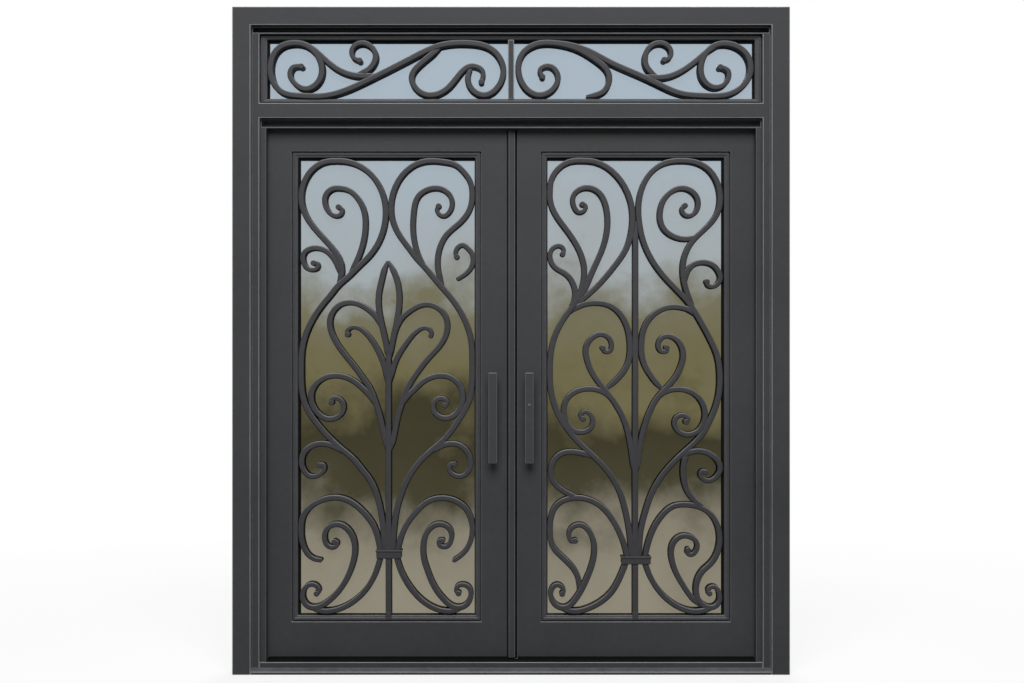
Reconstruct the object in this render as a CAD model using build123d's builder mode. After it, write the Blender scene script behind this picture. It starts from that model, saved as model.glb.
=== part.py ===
from build123d import *
import os
from math import ceil, radians

# Wrought iron double door with a fixed transom light, in millimetres.
# X runs along the wall, Y from the street (negative) to the room (positive), Z up.
# The origin lies under the sill, at mid width and mid depth of the frame.

os.makedirs("parts", exist_ok=True)

# Frame: outer tubes, stepped liners and stops
frame_width = 2120
frame_height = 2540
frame_depth = 140
jamb_face = 70
liner_face = 30
liner_setback = 24
transom_bar_level = 2120
transom_bar_height = 57
stop_face = 23
stop_setback = 45
stop_depth = 40
head_stop_height = 37

# Sill
sill_height = 44
sill_lip_setback = 2
sill_lip_height = 11
sill_slope_height = 24
sill_edge_ease = 3

# Leaves
leaf_thickness = 50
leaf_stop_gap = 5
leaf_side_gap = 5
leaf_sill_gap = 6
hinge_stile_width = 110
meeting_stile_reach = 115
bottom_rail_height = 138
top_rail_height = 116
meeting_gap = 6.5
meeting_bevel = 2.5
astragal_width = 32
astragal_thickness = 9

# Leaf glazing
bead_face = 23
bead_groove_width = 4.5
bead_groove_depth = 8
bead_setback = 6
glass_setback = 24
glass_thickness = 16
glass_edge_gap = 3
inner_bead_thickness = 8

# Transom glazing
transom_rail_bead_face = 18
transom_stile_bead_face = 27
transom_bead_setback = 18
transom_bead_thickness = 22
transom_inner_bead_thickness = 12
transom_grille_setback = 16
mullion_width = 23

# Scroll bars
bar_width = 23
bar_tip_width = 15
bar_taper_length = 190
bar_depth = 16
bar_step = 3
bar_flat_turn = 28
bar_flat_sag = 1.2
knob_radius = 9.5
knob_sides = 10
grille_setback = 5
grille_gap = 0.3

# Collars round the necks of the scrollwork
collar_wall = 3.5
collar_front_wall = 5
collar_lip_height = 9
collar_lip_overhang = 2.5
left_collar_width = 104
left_collar_height = 34
right_collar_width = 120
right_collar_height = 31

# Pull handles, alike outside and inside
pull_length = 347
pull_width = 34
pull_thickness = 20
pull_standoff = 36
pull_edge_chamfer = 3
pull_reach = 70
pull_foot_level = 801
pull_post_width = 20
pull_post_inset = 48
lock_radius = 6
lock_projection = 4
lock_level = 1026

# Welded barrel hinges on the room side
hinge_height = 120
hinge_barrel_radius = 14
hinge_pin_radius = 7
hinge_pin_reach = 45
hinge_pin_clearance = 0.1
hinge_knuckle_gap = 1
hinge_tab_thickness = 8
hinge_tab_width = 32
hinge_tab_lap = 4.5
hinge_axis_standoff = 16
hinge_level_shares = (0.10, 0.52, 0.90)

# Where the scroll bars run, as shares of the width and height of the glazed opening.
# Each bar is its points, then what its first and last ends are.
WELD = "weld"
TIP = "tip"
KNOB = "knob"

# A flat that turns by an angle sags from its arc by its length times that angle, over this
SAG_PER_TURN = 8

left_leaf_shares = [
    # stem
    ([(0.511, 0), (0.51, 0.30), (0.51, 0.45), (0.51, 0.585)], WELD, WELD),
    # lower loops, from the collar to their cut ends
    ([(0.468, 0.124), (0.422, 0.198), (0.378, 0.221), (0.27, 0.2525), (0.21, 0.257), (0.028, 0.215),
      (0.0175, 0.195), (0.085, 0.1238), (0.125, 0.120)], WELD, TIP),
    ([(0.557, 0.124), (0.564, 0.145), (0.613, 0.198), (0.656, 0.221), (0.75, 0.2515), (0.915, 0.244),
      (0.957, 0.2265), (0.977, 0.167), (0.935, 0.136), (0.882, 0.120)], WELD, TIP),
    # lower S scrolls
    ([(0.205, 0.1605), (0.219, 0.1585), (0.2155, 0.1515), (0.1676, 0.1517), (0.152, 0.162),
      (0.164, 0.1887), (0.224, 0.1987), (0.2958, 0.1797), (0.294, 0.0966), (0.1746, 0.0313),
      (0.083, 0.0163), (0.048, 0.0218), (0.028, 0.034), (0.041, 0.060), (0.076, 0.0672),
      (0.1077, 0.0618), (0.1165, 0.0525), (0.104, 0.0468)], KNOB, KNOB),
    ([(0.8134, 0.1625), (0.7986, 0.1632), (0.794, 0.157), (0.831, 0.149), (0.865, 0.166), (0.851, 0.19),
      (0.791, 0.1987), (0.7275, 0.181), (0.7056, 0.1457), (0.711, 0.121), (0.731, 0.0966),
      (0.7556, 0.072), (0.833, 0.030), (0.875, 0.0185), (0.953, 0.0237), (0.9577, 0.0626),
      (0.8986, 0.062), (0.893, 0.053), (0.9056, 0.0475)], KNOB, KNOB),
    # bottom arcs
    ([(0.474, 0.142), (0.4615, 0.1226), (0.445, 0.1008), (0.392, 0.0601), (0.2975, 0.0257),
      (0.1707, 0.0085), (0.115, 0.0085)], WELD, WELD),
    ([(0.546, 0.142), (0.5585, 0.1226), (0.5746, 0.1023), (0.6315, 0.061), (0.7245, 0.0246),
      (0.842, 0.0085), (0.89, 0.0085)], WELD, WELD),
    # long S bars, which turn into the inner sides of the upper teardrops
    ([(0.492, 0.124), (0.460, 0.24), (0.398, 0.30), (0.357, 0.32), (0.315, 0.34), (0.255, 0.36),
      (0.104, 0.42), (0.041, 0.46), (0.0175, 0.54), (0.022, 0.58), (0.141, 0.68), (0.184, 0.70),
      (0.226, 0.72), (0.287, 0.741), (0.3296, 0.7576), (0.407, 0.7875), (0.481, 0.842), (0.477, 0.921),
      (0.375, 0.9754), (0.266, 0.992), (0.217, 0.993)], WELD, WELD),
    ([(0.530, 0.124), (0.538, 0.17), (0.563, 0.24), (0.579, 0.26), (0.597, 0.28), (0.751, 0.36),
      (0.812, 0.38), (0.928, 0.44), (0.956, 0.46), (0.982, 0.55), (0.976, 0.60), (0.8486, 0.70),
      (0.803, 0.72), (0.7155, 0.76), (0.668, 0.78), (0.6285, 0.80), (0.557, 0.84), (0.525, 0.88),
      (0.639, 0.98), (0.71, 0.9915), (0.773, 0.993)], WELD, WELD),
    # outer sides of the upper teardrops
    ([(0.225, 0.993), (0.1676, 0.992), (0.118, 0.9855), (0.0175, 0.918), (0.062, 0.861), (0.2465, 0.752),
      (0.222, 0.719)], WELD, WELD),
    ([(0.765, 0.993), (0.893, 0.9835), (0.935, 0.9686), (0.967, 0.951), (0.982, 0.913), (0.974, 0.8937),
      (0.921, 0.861), (0.84, 0.8325), (0.789, 0.7576), (0.817, 0.718)], WELD, WELD),
    # curls inside the teardrops
    ([(0.288, 0.744), (0.315, 0.762), (0.380, 0.86), (0.374, 0.88), (0.3225, 0.9175), (0.287, 0.9285),
      (0.238, 0.9335), (0.196, 0.9324), (0.162, 0.9223), (0.15, 0.907), (0.213, 0.873), (0.2415, 0.8774),
      (0.2455, 0.887), (0.228, 0.8925)], WELD, KNOB),
    ([(0.735, 0.749), (0.708, 0.764), (0.6486, 0.84), (0.652, 0.88), (0.680, 0.9165), (0.805, 0.9324),
      (0.866, 0.91), (0.851, 0.88), (0.8225, 0.873), (0.794, 0.8774), (0.784, 0.887), (0.793, 0.8945)],
     WELD, KNOB),
    # side curls below the teardrops
    ([(0.243, 0.738), (0.22, 0.766), (0.1535, 0.797), (0.062, 0.8003), (0.034, 0.7916), (0.037, 0.765),
      (0.062, 0.756), (0.111, 0.7617), (0.106, 0.769), (0.087, 0.770)], WELD, KNOB),
    ([(0.895, 0.7834), (0.889, 0.7943), (0.928, 0.8093), (0.956, 0.8025), (0.981, 0.7902),
      (0.979, 0.7617), (0.9035, 0.7358)], KNOB, TIP),
    # almond at the head of the stem
    ([(0.5075, 0.774), (0.490, 0.760), (0.476, 0.74), (0.4545, 0.70), (0.502, 0.58), (0.509, 0.555)],
     WELD, WELD),
    ([(0.5075, 0.774), (0.528, 0.760), (0.565, 0.72), (0.534, 0.60), (0.513, 0.555)], WELD, WELD),
    # lobes either side of the stem
    ([(0.482, 0.618), (0.464, 0.6375), (0.430, 0.6560), (0.294, 0.6836), (0.245, 0.680), (0.183, 0.6515),
      (0.2204, 0.593), (0.333, 0.5358), (0.368, 0.5168), (0.40, 0.499), (0.425, 0.478), (0.506, 0.355)],
     WELD, WELD),
    ([(0.530, 0.595), (0.5845, 0.6488), (0.622, 0.6624), (0.724, 0.6796), (0.8155, 0.6624),
      (0.838, 0.646), (0.8296, 0.608), (0.724, 0.5562), (0.689, 0.5385), (0.600, 0.4814), (0.583, 0.46),
      (0.567, 0.44), (0.534, 0.38), (0.515, 0.355)], WELD, WELD),
    # hooks inside the lobes
    ([(0.503, 0.505), (0.486, 0.544), (0.449, 0.5794), (0.389, 0.6134), (0.3225, 0.6297),
      (0.291, 0.6272), (0.277, 0.620), (0.279, 0.6135)], WELD, KNOB),
    ([(0.517, 0.505), (0.556, 0.5603), (0.611, 0.5944), (0.678, 0.623), (0.7134, 0.6284),
      (0.7415, 0.6243), (0.7515, 0.6161), (0.7475, 0.61)], WELD, TIP),
    # spirals at mid height
    ([(0.451, 0.449), (0.432, 0.465), (0.365, 0.4955), (0.3225, 0.5095), (0.2204, 0.5236),
      (0.122, 0.5127), (0.0745, 0.483), (0.09, 0.4524), (0.164, 0.4292), (0.21, 0.4306), (0.257, 0.4564),
      (0.213, 0.475), (0.190, 0.4714), (0.188, 0.465)], WELD, KNOB),
    ([(0.574, 0.449), (0.592, 0.465), (0.664, 0.496), (0.703, 0.5095), (0.847, 0.5214), (0.9176, 0.4977),
      (0.914, 0.4524), (0.851, 0.4314), (0.7768, 0.44), (0.7697, 0.4668), (0.8296, 0.4714),
      (0.840, 0.4632), (0.829, 0.4585)], WELD, KNOB),
    # spirals below mid height
    ([(0.282, 0.350), (0.203, 0.3688), (0.118, 0.3748), (0.041, 0.3584), (0.023, 0.3258),
      (0.0725, 0.3034), (0.136, 0.3121), (0.148, 0.3217), (0.138, 0.329), (0.122, 0.328)], WELD, KNOB),
    ([(0.728, 0.3505), (0.8754, 0.3748), (0.914, 0.3707), (0.9725, 0.3271), (0.9246, 0.304),
      (0.863, 0.3116), (0.853, 0.323), (0.866, 0.3312), (0.882, 0.330)], WELD, KNOB),
]

right_leaf_shares = [
    # stem
    ([(0.499, 0), (0.499, 0.4), (0.50, 0.6), (0.50, 0.834)], WELD, WELD),
    # lower left loop, which runs on into the foot of its S scroll
    ([(0.457, 0.112), (0.450, 0.132), (0.384, 0.20), (0.298, 0.24), (0.17, 0.2565), (0.058, 0.2409),
      (0.018, 0.1838), (0.037, 0.1484), (0.065, 0.1348), (0.16, 0.0953), (0.183, 0.064), (0.178, 0.047)],
     WELD, WELD),
    # lower left S scroll
    ([(0.160, 0.1625), (0.143, 0.1614), (0.126, 0.1797), (0.1877, 0.1973), (0.246, 0.1788),
      (0.263, 0.1225), (0.228, 0.0817), (0.1527, 0.03), (0.1176, 0.0182), (0.081, 0.0163),
      (0.0266, 0.0354), (0.037, 0.0618), (0.06, 0.0661), (0.0945, 0.0535), (0.087, 0.0463)], KNOB, KNOB),
    # bottom arcs
    ([(0.458, 0.130), (0.444, 0.1117), (0.4258, 0.0936), (0.3653, 0.050), (0.2465, 0.0165),
      (0.172, 0.0085), (0.11, 0.0085)], WELD, WELD),
    ([(0.541, 0.130), (0.5563, 0.1128), (0.5731, 0.0936), (0.6359, 0.0518), (0.7507, 0.0163),
      (0.8207, 0.0085), (0.89, 0.0085)], WELD, WELD),
    # lower right loop, which ends in a foot curl
    ([(0.549, 0.112), (0.557, 0.132), (0.6555, 0.22), (0.713, 0.2375), (0.78, 0.2415), (0.888, 0.2314),
      (0.93, 0.2178), (0.973, 0.181), (0.923, 0.1116), (0.888, 0.0994), (0.846, 0.0694), (0.87, 0.0265),
      (0.937, 0.0172), (0.965, 0.0245), (0.972, 0.049), (0.954, 0.06), (0.9265, 0.0612), (0.911, 0.0544),
      (0.918, 0.0475)], WELD, KNOB),
    # curl inside the lower right loop
    ([(0.868, 0.0195), (0.8255, 0.0345), (0.786, 0.0550), (0.706, 0.121), (0.7115, 0.1552),
      (0.7654, 0.1729), (0.848, 0.1565), (0.8305, 0.1348), (0.8074, 0.132), (0.792, 0.1375),
      (0.798, 0.1425)], WELD, KNOB),
    # long left S bar, up to the joint below the left teardrop
    ([(0.481, 0.112), (0.459, 0.20), (0.436, 0.24), (0.421, 0.26), (0.284, 0.34), (0.174, 0.38),
      (0.028, 0.48), (0.0175, 0.53), (0.037, 0.60), (0.1176, 0.66), (0.156, 0.68), (0.211, 0.759),
      (0.1246, 0.835), (0.0182, 0.909), (0.0178, 0.928), (0.023, 0.947), (0.114, 0.989), (0.2157, 0.9935)],
     WELD, WELD),
    # right side of the left teardrop
    ([(0.193, 0.6875), (0.272, 0.7141), (0.391, 0.767), (0.453, 0.805), (0.470, 0.8257), (0.469, 0.910),
      (0.272, 0.991), (0.2080, 0.9935)], WELD, WELD),
    # curl inside the left teardrop
    ([(0.190, 0.6920), (0.2577, 0.7508), (0.3095, 0.7957), (0.340, 0.8815), (0.2787, 0.9287),
      (0.205, 0.9338), (0.151, 0.917), (0.158, 0.8897), (0.181, 0.881), (0.219, 0.8897), (0.213, 0.897),
      (0.201, 0.8985)], WELD, KNOB),
    # side curl left of the joint
    ([(0.090, 0.7897), (0.095, 0.799), (0.079, 0.8066), (0.032, 0.8012), (0.037, 0.7644),
      (0.1036, 0.7467), (0.151, 0.7222), (0.157, 0.690), (0.114, 0.6583)], KNOB, WELD),
    # long right S bar, which turns into the left side of the right ring
    ([(0.518, 0.112), (0.523, 0.15), (0.529, 0.18), (0.552, 0.22), (0.610, 0.28), (0.786, 0.36),
      (0.886, 0.40), (0.914, 0.42), (0.957, 0.46), (0.974, 0.54), (0.966, 0.56), (0.926, 0.60),
      (0.8704, 0.64), (0.805, 0.68), (0.662, 0.74), (0.543, 0.82), (0.530, 0.84), (0.544, 0.94),
      (0.625, 0.98), (0.69, 0.991), (0.765, 0.9935)], WELD, WELD),
    # right side of the right ring
    ([(0.757, 0.9935), (0.83, 0.991), (0.918, 0.9728), (0.9615, 0.8775), (0.818, 0.8148),
      (0.7745, 0.778), (0.770, 0.740), (0.832, 0.666)], WELD, WELD),
    # spiral inside the right ring
    ([(0.872, 0.8365), (0.8464, 0.8285), (0.671, 0.8399), (0.646, 0.8557), (0.644, 0.891),
      (0.66, 0.9074), (0.769, 0.9338), (0.8424, 0.917), (0.855, 0.902), (0.825, 0.876), (0.793, 0.8734),
      (0.7685, 0.880), (0.765, 0.8897), (0.780, 0.8955)], WELD, KNOB),
    # side curl right of the ring's foot
    ([(0.779, 0.7217), (0.795, 0.7525), (0.8214, 0.7644), (0.944, 0.7636), (0.970, 0.7504),
      (0.9795, 0.7374), (0.9335, 0.7182), (0.910, 0.7215), (0.9036, 0.729)], WELD, KNOB),
    # inner ovals either side of the stem
    ([(0.130, 0.6605), (0.1807, 0.6747), (0.268, 0.6825), (0.359, 0.676), (0.4328, 0.6474),
      (0.470, 0.5875), (0.458, 0.5508), (0.333, 0.4935)], WELD, WELD),
    ([(0.8550, 0.6500), (0.804, 0.667), (0.7514, 0.673), (0.702, 0.6738), (0.611, 0.6597),
      (0.552, 0.6297), (0.534, 0.5916), (0.544, 0.5549), (0.594, 0.5195), (0.625, 0.5045),
      (0.661, 0.4915)], WELD, WELD),
    # heart curls, which run down into the stem
    ([(0.316, 0.5842), (0.330, 0.5760), (0.352, 0.5766), (0.366, 0.5875), (0.342, 0.6093),
      (0.31, 0.6142), (0.2255, 0.5902), (0.227, 0.559), (0.266, 0.5236), (0.362, 0.4755), (0.442, 0.42),
      (0.477, 0.36), (0.496, 0.305)], KNOB, WELD),
    ([(0.6755, 0.5853), (0.677, 0.5785), (0.657, 0.5756), (0.637, 0.58), (0.639, 0.6017),
      (0.6625, 0.6088), (0.723, 0.6052), (0.7696, 0.563), (0.758, 0.5453), (0.737, 0.5263),
      (0.614, 0.469), (0.594, 0.455), (0.531, 0.38), (0.523, 0.36), (0.502, 0.305)], KNOB, WELD),
    # spirals at mid height
    ([(0.400, 0.4525), (0.368, 0.4725), (0.2787, 0.4932), (0.1317, 0.4805), (0.1057, 0.4663),
      (0.149, 0.4042), (0.2297, 0.4034), (0.2556, 0.4142), (0.2437, 0.4401), (0.2157, 0.4447),
      (0.195, 0.4401), (0.194, 0.4325), (0.205, 0.4290)], WELD, KNOB),
    ([(0.604, 0.4625), (0.637, 0.4799), (0.814, 0.4877), (0.8796, 0.4619), (0.890, 0.4265),
      (0.8445, 0.3998), (0.762, 0.3971), (0.72, 0.4189), (0.7304, 0.4314), (0.783, 0.4352),
      (0.797, 0.4279), (0.786, 0.4225)], WELD, KNOB),
    # branch from the left S bar down to the lower loop
    ([(0.270, 0.3430), (0.2417, 0.3485), (0.163, 0.3562), (0.0826, 0.353), (0.0266, 0.3258),
      (0.039, 0.2917), (0.107, 0.2686), (0.149, 0.2605), (0.200, 0.2545)], WELD, WELD),
    # spiral and branch from the right S bar
    ([(0.735, 0.3395), (0.762, 0.3475), (0.9055, 0.3549), (0.9776, 0.319), (0.937, 0.2964),
      (0.9055, 0.2936), (0.868, 0.3094), (0.880, 0.3150), (0.895, 0.3125)], WELD, KNOB),
    ([(0.806, 0.3635), (0.776, 0.3367), (0.770, 0.3203), (0.811, 0.26), (0.8565, 0.2427), (0.905, 0.2265)],
     WELD, WELD),
]

left_transom_shares = [
    # long wave with a spiral at each end
    ([(0.141, 0.553), (0.106, 0.535), (0.094, 0.442), (0.1135, 0.268), (0.160, 0.173), (0.207, 0.268),
      (0.227, 0.49), (0.160, 0.908), (0.11, 0.944), (0.051, 0.87), (0.0197, 0.331), (0.059, 0.125),
      (0.137, 0.0557), (0.240, 0.057), (0.418, 0.318), (0.606, 0.705), (0.708, 0.892), (0.833, 0.943),
      (0.9345, 0.832), (0.98, 0.521), (0.958, 0.205), (0.903, 0.068), (0.852, 0.157), (0.833, 0.363),
      (0.846, 0.515)], KNOB, WELD),
    # egg below it
    ([(0.7235, 0.900), (0.6765, 0.731), (0.63, 0.569), (0.60, 0.379), (0.6155, 0.189), (0.6725, 0.068),
      (0.735, 0.141), (0.794, 0.395), (0.8485, 0.559), (0.894, 0.474), (0.889, 0.293)], WELD, KNOB),
    # side wave and its curl
    ([(0.160, 0.908), (0.231, 0.70), (0.293, 0.50), (0.3715, 0.395), (0.455, 0.405)], WELD, WELD),
    ([(0.36, 0.395), (0.434, 0.553), (0.45, 0.743), (0.426, 0.90), (0.387, 0.944), (0.352, 0.838),
      (0.358, 0.70), (0.383, 0.652)], WELD, KNOB),
]

right_transom_shares = [
    # ring beside the mullion, which runs on as an egg
    ([(0.118, 0.379), (0.108, 0.49), (0.141, 0.559), (0.182, 0.395), (0.163, 0.173), (0.1025, 0.0684),
      (0.044, 0.205), (0.034, 0.759), (0.0946, 0.927), (0.172, 0.94), (0.258, 0.854), (0.3437, 0.648),
      (0.394, 0.41), (0.3787, 0.157), (0.30, 0.045)], KNOB, WELD),
    # long wave with a spiral at its end
    ([(0.172, 0.94), (0.297, 0.832), (0.398, 0.623), (0.507, 0.4265), (0.608, 0.236), (0.686, 0.103),
      (0.787, 0.0557), (0.888, 0.078), (0.954, 0.236), (0.983, 0.49), (0.965, 0.759), (0.896, 0.927),
      (0.826, 0.886), (0.7755, 0.49), (0.791, 0.2997), (0.834, 0.198), (0.8845, 0.2997), (0.888, 0.483),
      (0.857, 0.540)], WELD, KNOB),
    # side wave and its curl
    ([(0.530, 0.390), (0.639, 0.379), (0.709, 0.505), (0.775, 0.71), (0.828, 0.87)], WELD, WELD),
    ([(0.600, 0.360), (0.55, 0.553), (0.546, 0.743), (0.577, 0.917), (0.624, 0.933), (0.652, 0.806),
      (0.644, 0.69), (0.624, 0.664)], WELD, KNOB),
]

# Collar centres, as shares of the glazed opening
left_collar_shares = (0.5125, 0.1336)
right_collar_shares = (0.5037, 0.1203)

# Levels and depths that follow from the sizes above
frame_front = -frame_depth / 2
frame_back = frame_depth / 2
jamb_outer = frame_width / 2
jamb_inner = jamb_outer - jamb_face
liner_inner = jamb_inner - liner_face
head_low = frame_height - jamb_face
head_liner_low = head_low - liner_face
liner_front = frame_front + liner_setback
transom_bar_top = transom_bar_level + transom_bar_height
stop_front = frame_front + stop_setback
stop_back = stop_front + stop_depth
leaf_front = stop_back + leaf_stop_gap
leaf_back = leaf_front + leaf_thickness
leaf_low = sill_height + leaf_sill_gap
leaf_high = transom_bar_level - leaf_side_gap
leaf_outer = liner_inner - leaf_side_gap
hinge_axis_x = liner_inner - leaf_side_gap / 2
hinge_axis_y = leaf_back + hinge_axis_standoff


def hand_over(piece, name):
    """Labels a finished piece and writes it."""
    piece.part.label = name
    export_step(piece.part, f"parts/{name}.step")


def outline(points, y_front, y_back):
    """Adds a prism to the part in hand, from its outline as seen from the street and its depths."""
    with BuildSketch(Plane.XZ.offset(-y_back)) as profile:
        with BuildLine():
            Polyline(*points, close=True)
        make_face()
    extrude(profile.sketch, amount=y_back - y_front)


def slab(x_ends, z_ends, y_front, y_back):
    """Adds a square-edged block to the part in hand, from its ends along X and Z and its depths."""
    (x_a, x_b), (z_a, z_b) = x_ends, z_ends
    outline([(x_a, z_a), (x_b, z_a), (x_b, z_b), (x_a, z_b)], y_front, y_back)


def mitred_side(opening, side, inner, outer):
    """Gives the outline of one mitred side of a border round an opening.

    The border lies between two margins round the opening. A margin is its widths across and up.
    """
    (x_a, x_b), (z_a, z_b) = opening

    def corners(margin):
        across, up = margin
        low_left = (x_a - across, z_a - up)
        low_right = (x_b + across, z_a - up)
        high_right = (x_b + across, z_b + up)
        high_left = (x_a - across, z_b + up)
        return [low_left, low_right, high_right, high_left]

    first = ("bottom", "right", "top", "left").index(side)
    second = (first + 1) % len(corners(inner))
    near, far = corners(inner), corners(outer)
    return [near[first], near[second], far[second], far[first]]


def facet_shares(route):
    """Gives the shares of a route's length where its flats meet, closer together where it bends."""
    steps = ceil(route.length / bar_step)
    shares = [0]
    for share in [step / steps for step in range(1, steps)]:
        turn = (route % shares[-1]).get_angle(route % share)
        run = (share - shares[-1]) * route.length
        if turn > bar_flat_turn or run * radians(turn) > bar_flat_sag * SAG_PER_TURN:
            shares.append(share)
    return shares + [1]


def forge_bar(points, first_end, last_end):
    """Adds one scroll bar to the sketch in hand.

    Its edges are set off either side of its route. Towards a free end it thins, and that end is round.
    """
    with BuildLine() as edges:
        route = Spline(*points, mode=Mode.PRIVATE)
        left_edge, right_edge = [], []
        for share in facet_shares(route):
            thinning = 0
            for end, distance in ((first_end, share), (last_end, 1 - share)):
                if end != WELD:
                    thinning = max(thinning, 1 - distance * route.length / bar_taper_length)
            half_width = (bar_width - thinning * (bar_width - bar_tip_width)) / 2
            across = (route % share).rotate(Axis.Z, 90) * half_width
            left_edge.append(route @ share + across)
            right_edge.append(route @ share - across)
        Polyline(*left_edge)
        Polyline(*right_edge)
        for end, share, left, right in ((first_end, 0, left_edge[0], right_edge[0]),
                                        (last_end, 1, left_edge[-1], right_edge[-1])):
            if end == WELD:
                Line(left, right)
            else:
                outward = (route % share) * (2 * share - 1)
                ThreePointArc(left, route @ share + outward * bar_tip_width / 2, right)
    make_face(edges.edges())
    for end, centre in ((first_end, points[0]), (last_end, points[-1])):
        if end == KNOB:
            with Locations(centre):
                RegularPolygon(knob_radius, knob_sides)


def scrollwork(bars, opening, y_front):
    """Adds a flat grille of scroll bars to the part in hand, trimmed just clear of its opening."""
    (x_a, x_b), (z_a, z_b) = opening
    width, height = x_b - x_a, z_b - z_a
    with BuildSketch(Plane.XZ.offset(-y_front - bar_depth)) as grille:
        for shares, first_end, last_end in bars:
            points = [(x_a + across * width, z_a + up * height) for across, up in shares]
            forge_bar(points, first_end, last_end)
        with Locations(((x_a + x_b) / 2, (z_a + z_b) / 2)):
            Rectangle(width - 2 * grille_gap, height - 2 * grille_gap, mode=Mode.INTERSECT)
    extrude(grille.sketch, amount=bar_depth)


# Frame jambs and head, mitred at the corners
for side, hand in (("left", -1), ("right", 1)):
    with BuildPart() as jamb:
        outline([(hand * jamb_outer, 0), (hand * jamb_inner, 0), (hand * jamb_inner, head_low),
                 (hand * jamb_outer, frame_height)], frame_front, frame_back)
    hand_over(jamb, f"{side}_jamb")

    with BuildPart() as liner:
        outline([(hand * jamb_inner, 0), (hand * liner_inner, 0), (hand * liner_inner, head_liner_low),
                 (hand * jamb_inner, head_low)], liner_front, frame_back)
    hand_over(liner, f"{side}_liner")

    with BuildPart() as stop:
        slab((hand * (liner_inner - stop_face), hand * liner_inner), (sill_height, transom_bar_level),
             stop_front, stop_back)
    hand_over(stop, f"{side}_stop")

with BuildPart() as head_jamb:
    outline([(-jamb_outer, frame_height), (-jamb_inner, head_low), (jamb_inner, head_low),
             (jamb_outer, frame_height)], frame_front, frame_back)
hand_over(head_jamb, "head_jamb")

with BuildPart() as head_liner:
    outline([(-jamb_inner, head_low), (-liner_inner, head_liner_low), (liner_inner, head_liner_low),
             (jamb_inner, head_low)], liner_front, frame_back)
hand_over(head_liner, "head_liner")

with BuildPart() as transom_bar:
    slab((-liner_inner, liner_inner), (transom_bar_level, transom_bar_top), liner_front, frame_back)
hand_over(transom_bar, "transom_bar")

with BuildPart() as head_stop:
    slab((stop_face - liner_inner, liner_inner - stop_face),
         (transom_bar_level - head_stop_height, transom_bar_level), stop_front, stop_back)
hand_over(head_stop, "head_stop")

# Sill: a sloped lip between the jambs, in front of a raised tread between the liners
with BuildPart() as sill:
    with BuildSketch(Plane.YZ):
        with BuildLine():
            Polyline((frame_front + sill_lip_setback, 0), (frame_front + sill_lip_setback, sill_lip_height),
                     (liner_front, sill_slope_height), (liner_front, 0), close=True)
        make_face()
    extrude(amount=jamb_inner, both=True)
    with BuildSketch(Plane.YZ):
        with BuildLine():
            Polyline((liner_front, 0), (liner_front, sill_height - sill_edge_ease),
                     (liner_front + sill_edge_ease, sill_height), (frame_back, sill_height),
                     (frame_back, 0), close=True)
        make_face()
    extrude(amount=liner_inner, both=True)
hand_over(sill, "sill")

# Transom light: beads, glass, mullion and scrollwork
transom_opening = ((transom_stile_bead_face - liner_inner, liner_inner - transom_stile_bead_face),
                   (transom_bar_top + transom_rail_bead_face, head_liner_low - transom_rail_bead_face))
transom_margin = (transom_stile_bead_face, transom_rail_bead_face)
transom_bead_front = liner_front + transom_bead_setback
transom_glass_front = transom_bead_front + transom_bead_thickness
transom_glass_back = transom_glass_front + glass_thickness
transom_bead_back = transom_glass_back + transom_inner_bead_thickness
transom_bead_depths = ((transom_bead_front, transom_glass_front), (transom_glass_back, transom_bead_back))

for kind, sides in (("rails", ("bottom", "top")), ("stiles", ("left", "right"))):
    with BuildPart() as transom_beads:
        for side in sides:
            for y_front, y_back in transom_bead_depths:
                outline(mitred_side(transom_opening, side, (0, 0), transom_margin), y_front, y_back)
    hand_over(transom_beads, f"transom_bead_{kind}")

with BuildPart() as transom_glass:
    slab((glass_edge_gap - liner_inner, liner_inner - glass_edge_gap),
         (transom_bar_top + glass_edge_gap, head_liner_low - glass_edge_gap),
         transom_glass_front, transom_glass_back)
hand_over(transom_glass, "transom_glass")

with BuildPart() as transom_mullion:
    slab((-mullion_width / 2, mullion_width / 2), transom_opening[1], transom_bead_front, transom_glass_front)
hand_over(transom_mullion, "transom_mullion")

transom_bays = (
    ("left", left_transom_shares, (transom_opening[0][0], -mullion_width / 2)),
    ("right", right_transom_shares, (mullion_width / 2, transom_opening[0][1])),
)
for side, bars, bay in transom_bays:
    with BuildPart() as transom_scrollwork:
        scrollwork(bars, (bay, transom_opening[1]), liner_front + transom_grille_setback)
    hand_over(transom_scrollwork, f"transom_scrollwork_{side}")

# Leaves. Distances across a leaf are measured from the centre line of the door.
bead_front = leaf_front + bead_setback
glass_front = leaf_front + glass_setback
glass_back = glass_front + glass_thickness
grille_front = leaf_front + grille_setback
rail_ends = (meeting_stile_reach, leaf_outer - hinge_stile_width)
rail_levels = (leaf_low + bottom_rail_height, leaf_high - top_rail_height)
meeting_edges = {"left": -astragal_width / 2, "right": astragal_width / 2 + meeting_gap}
leaf_bars = {"left": left_leaf_shares, "right": right_leaf_shares}
collars = {
    "left": (left_collar_shares, left_collar_width, left_collar_height),
    "right": (right_collar_shares, right_collar_width, right_collar_height),
}

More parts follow.
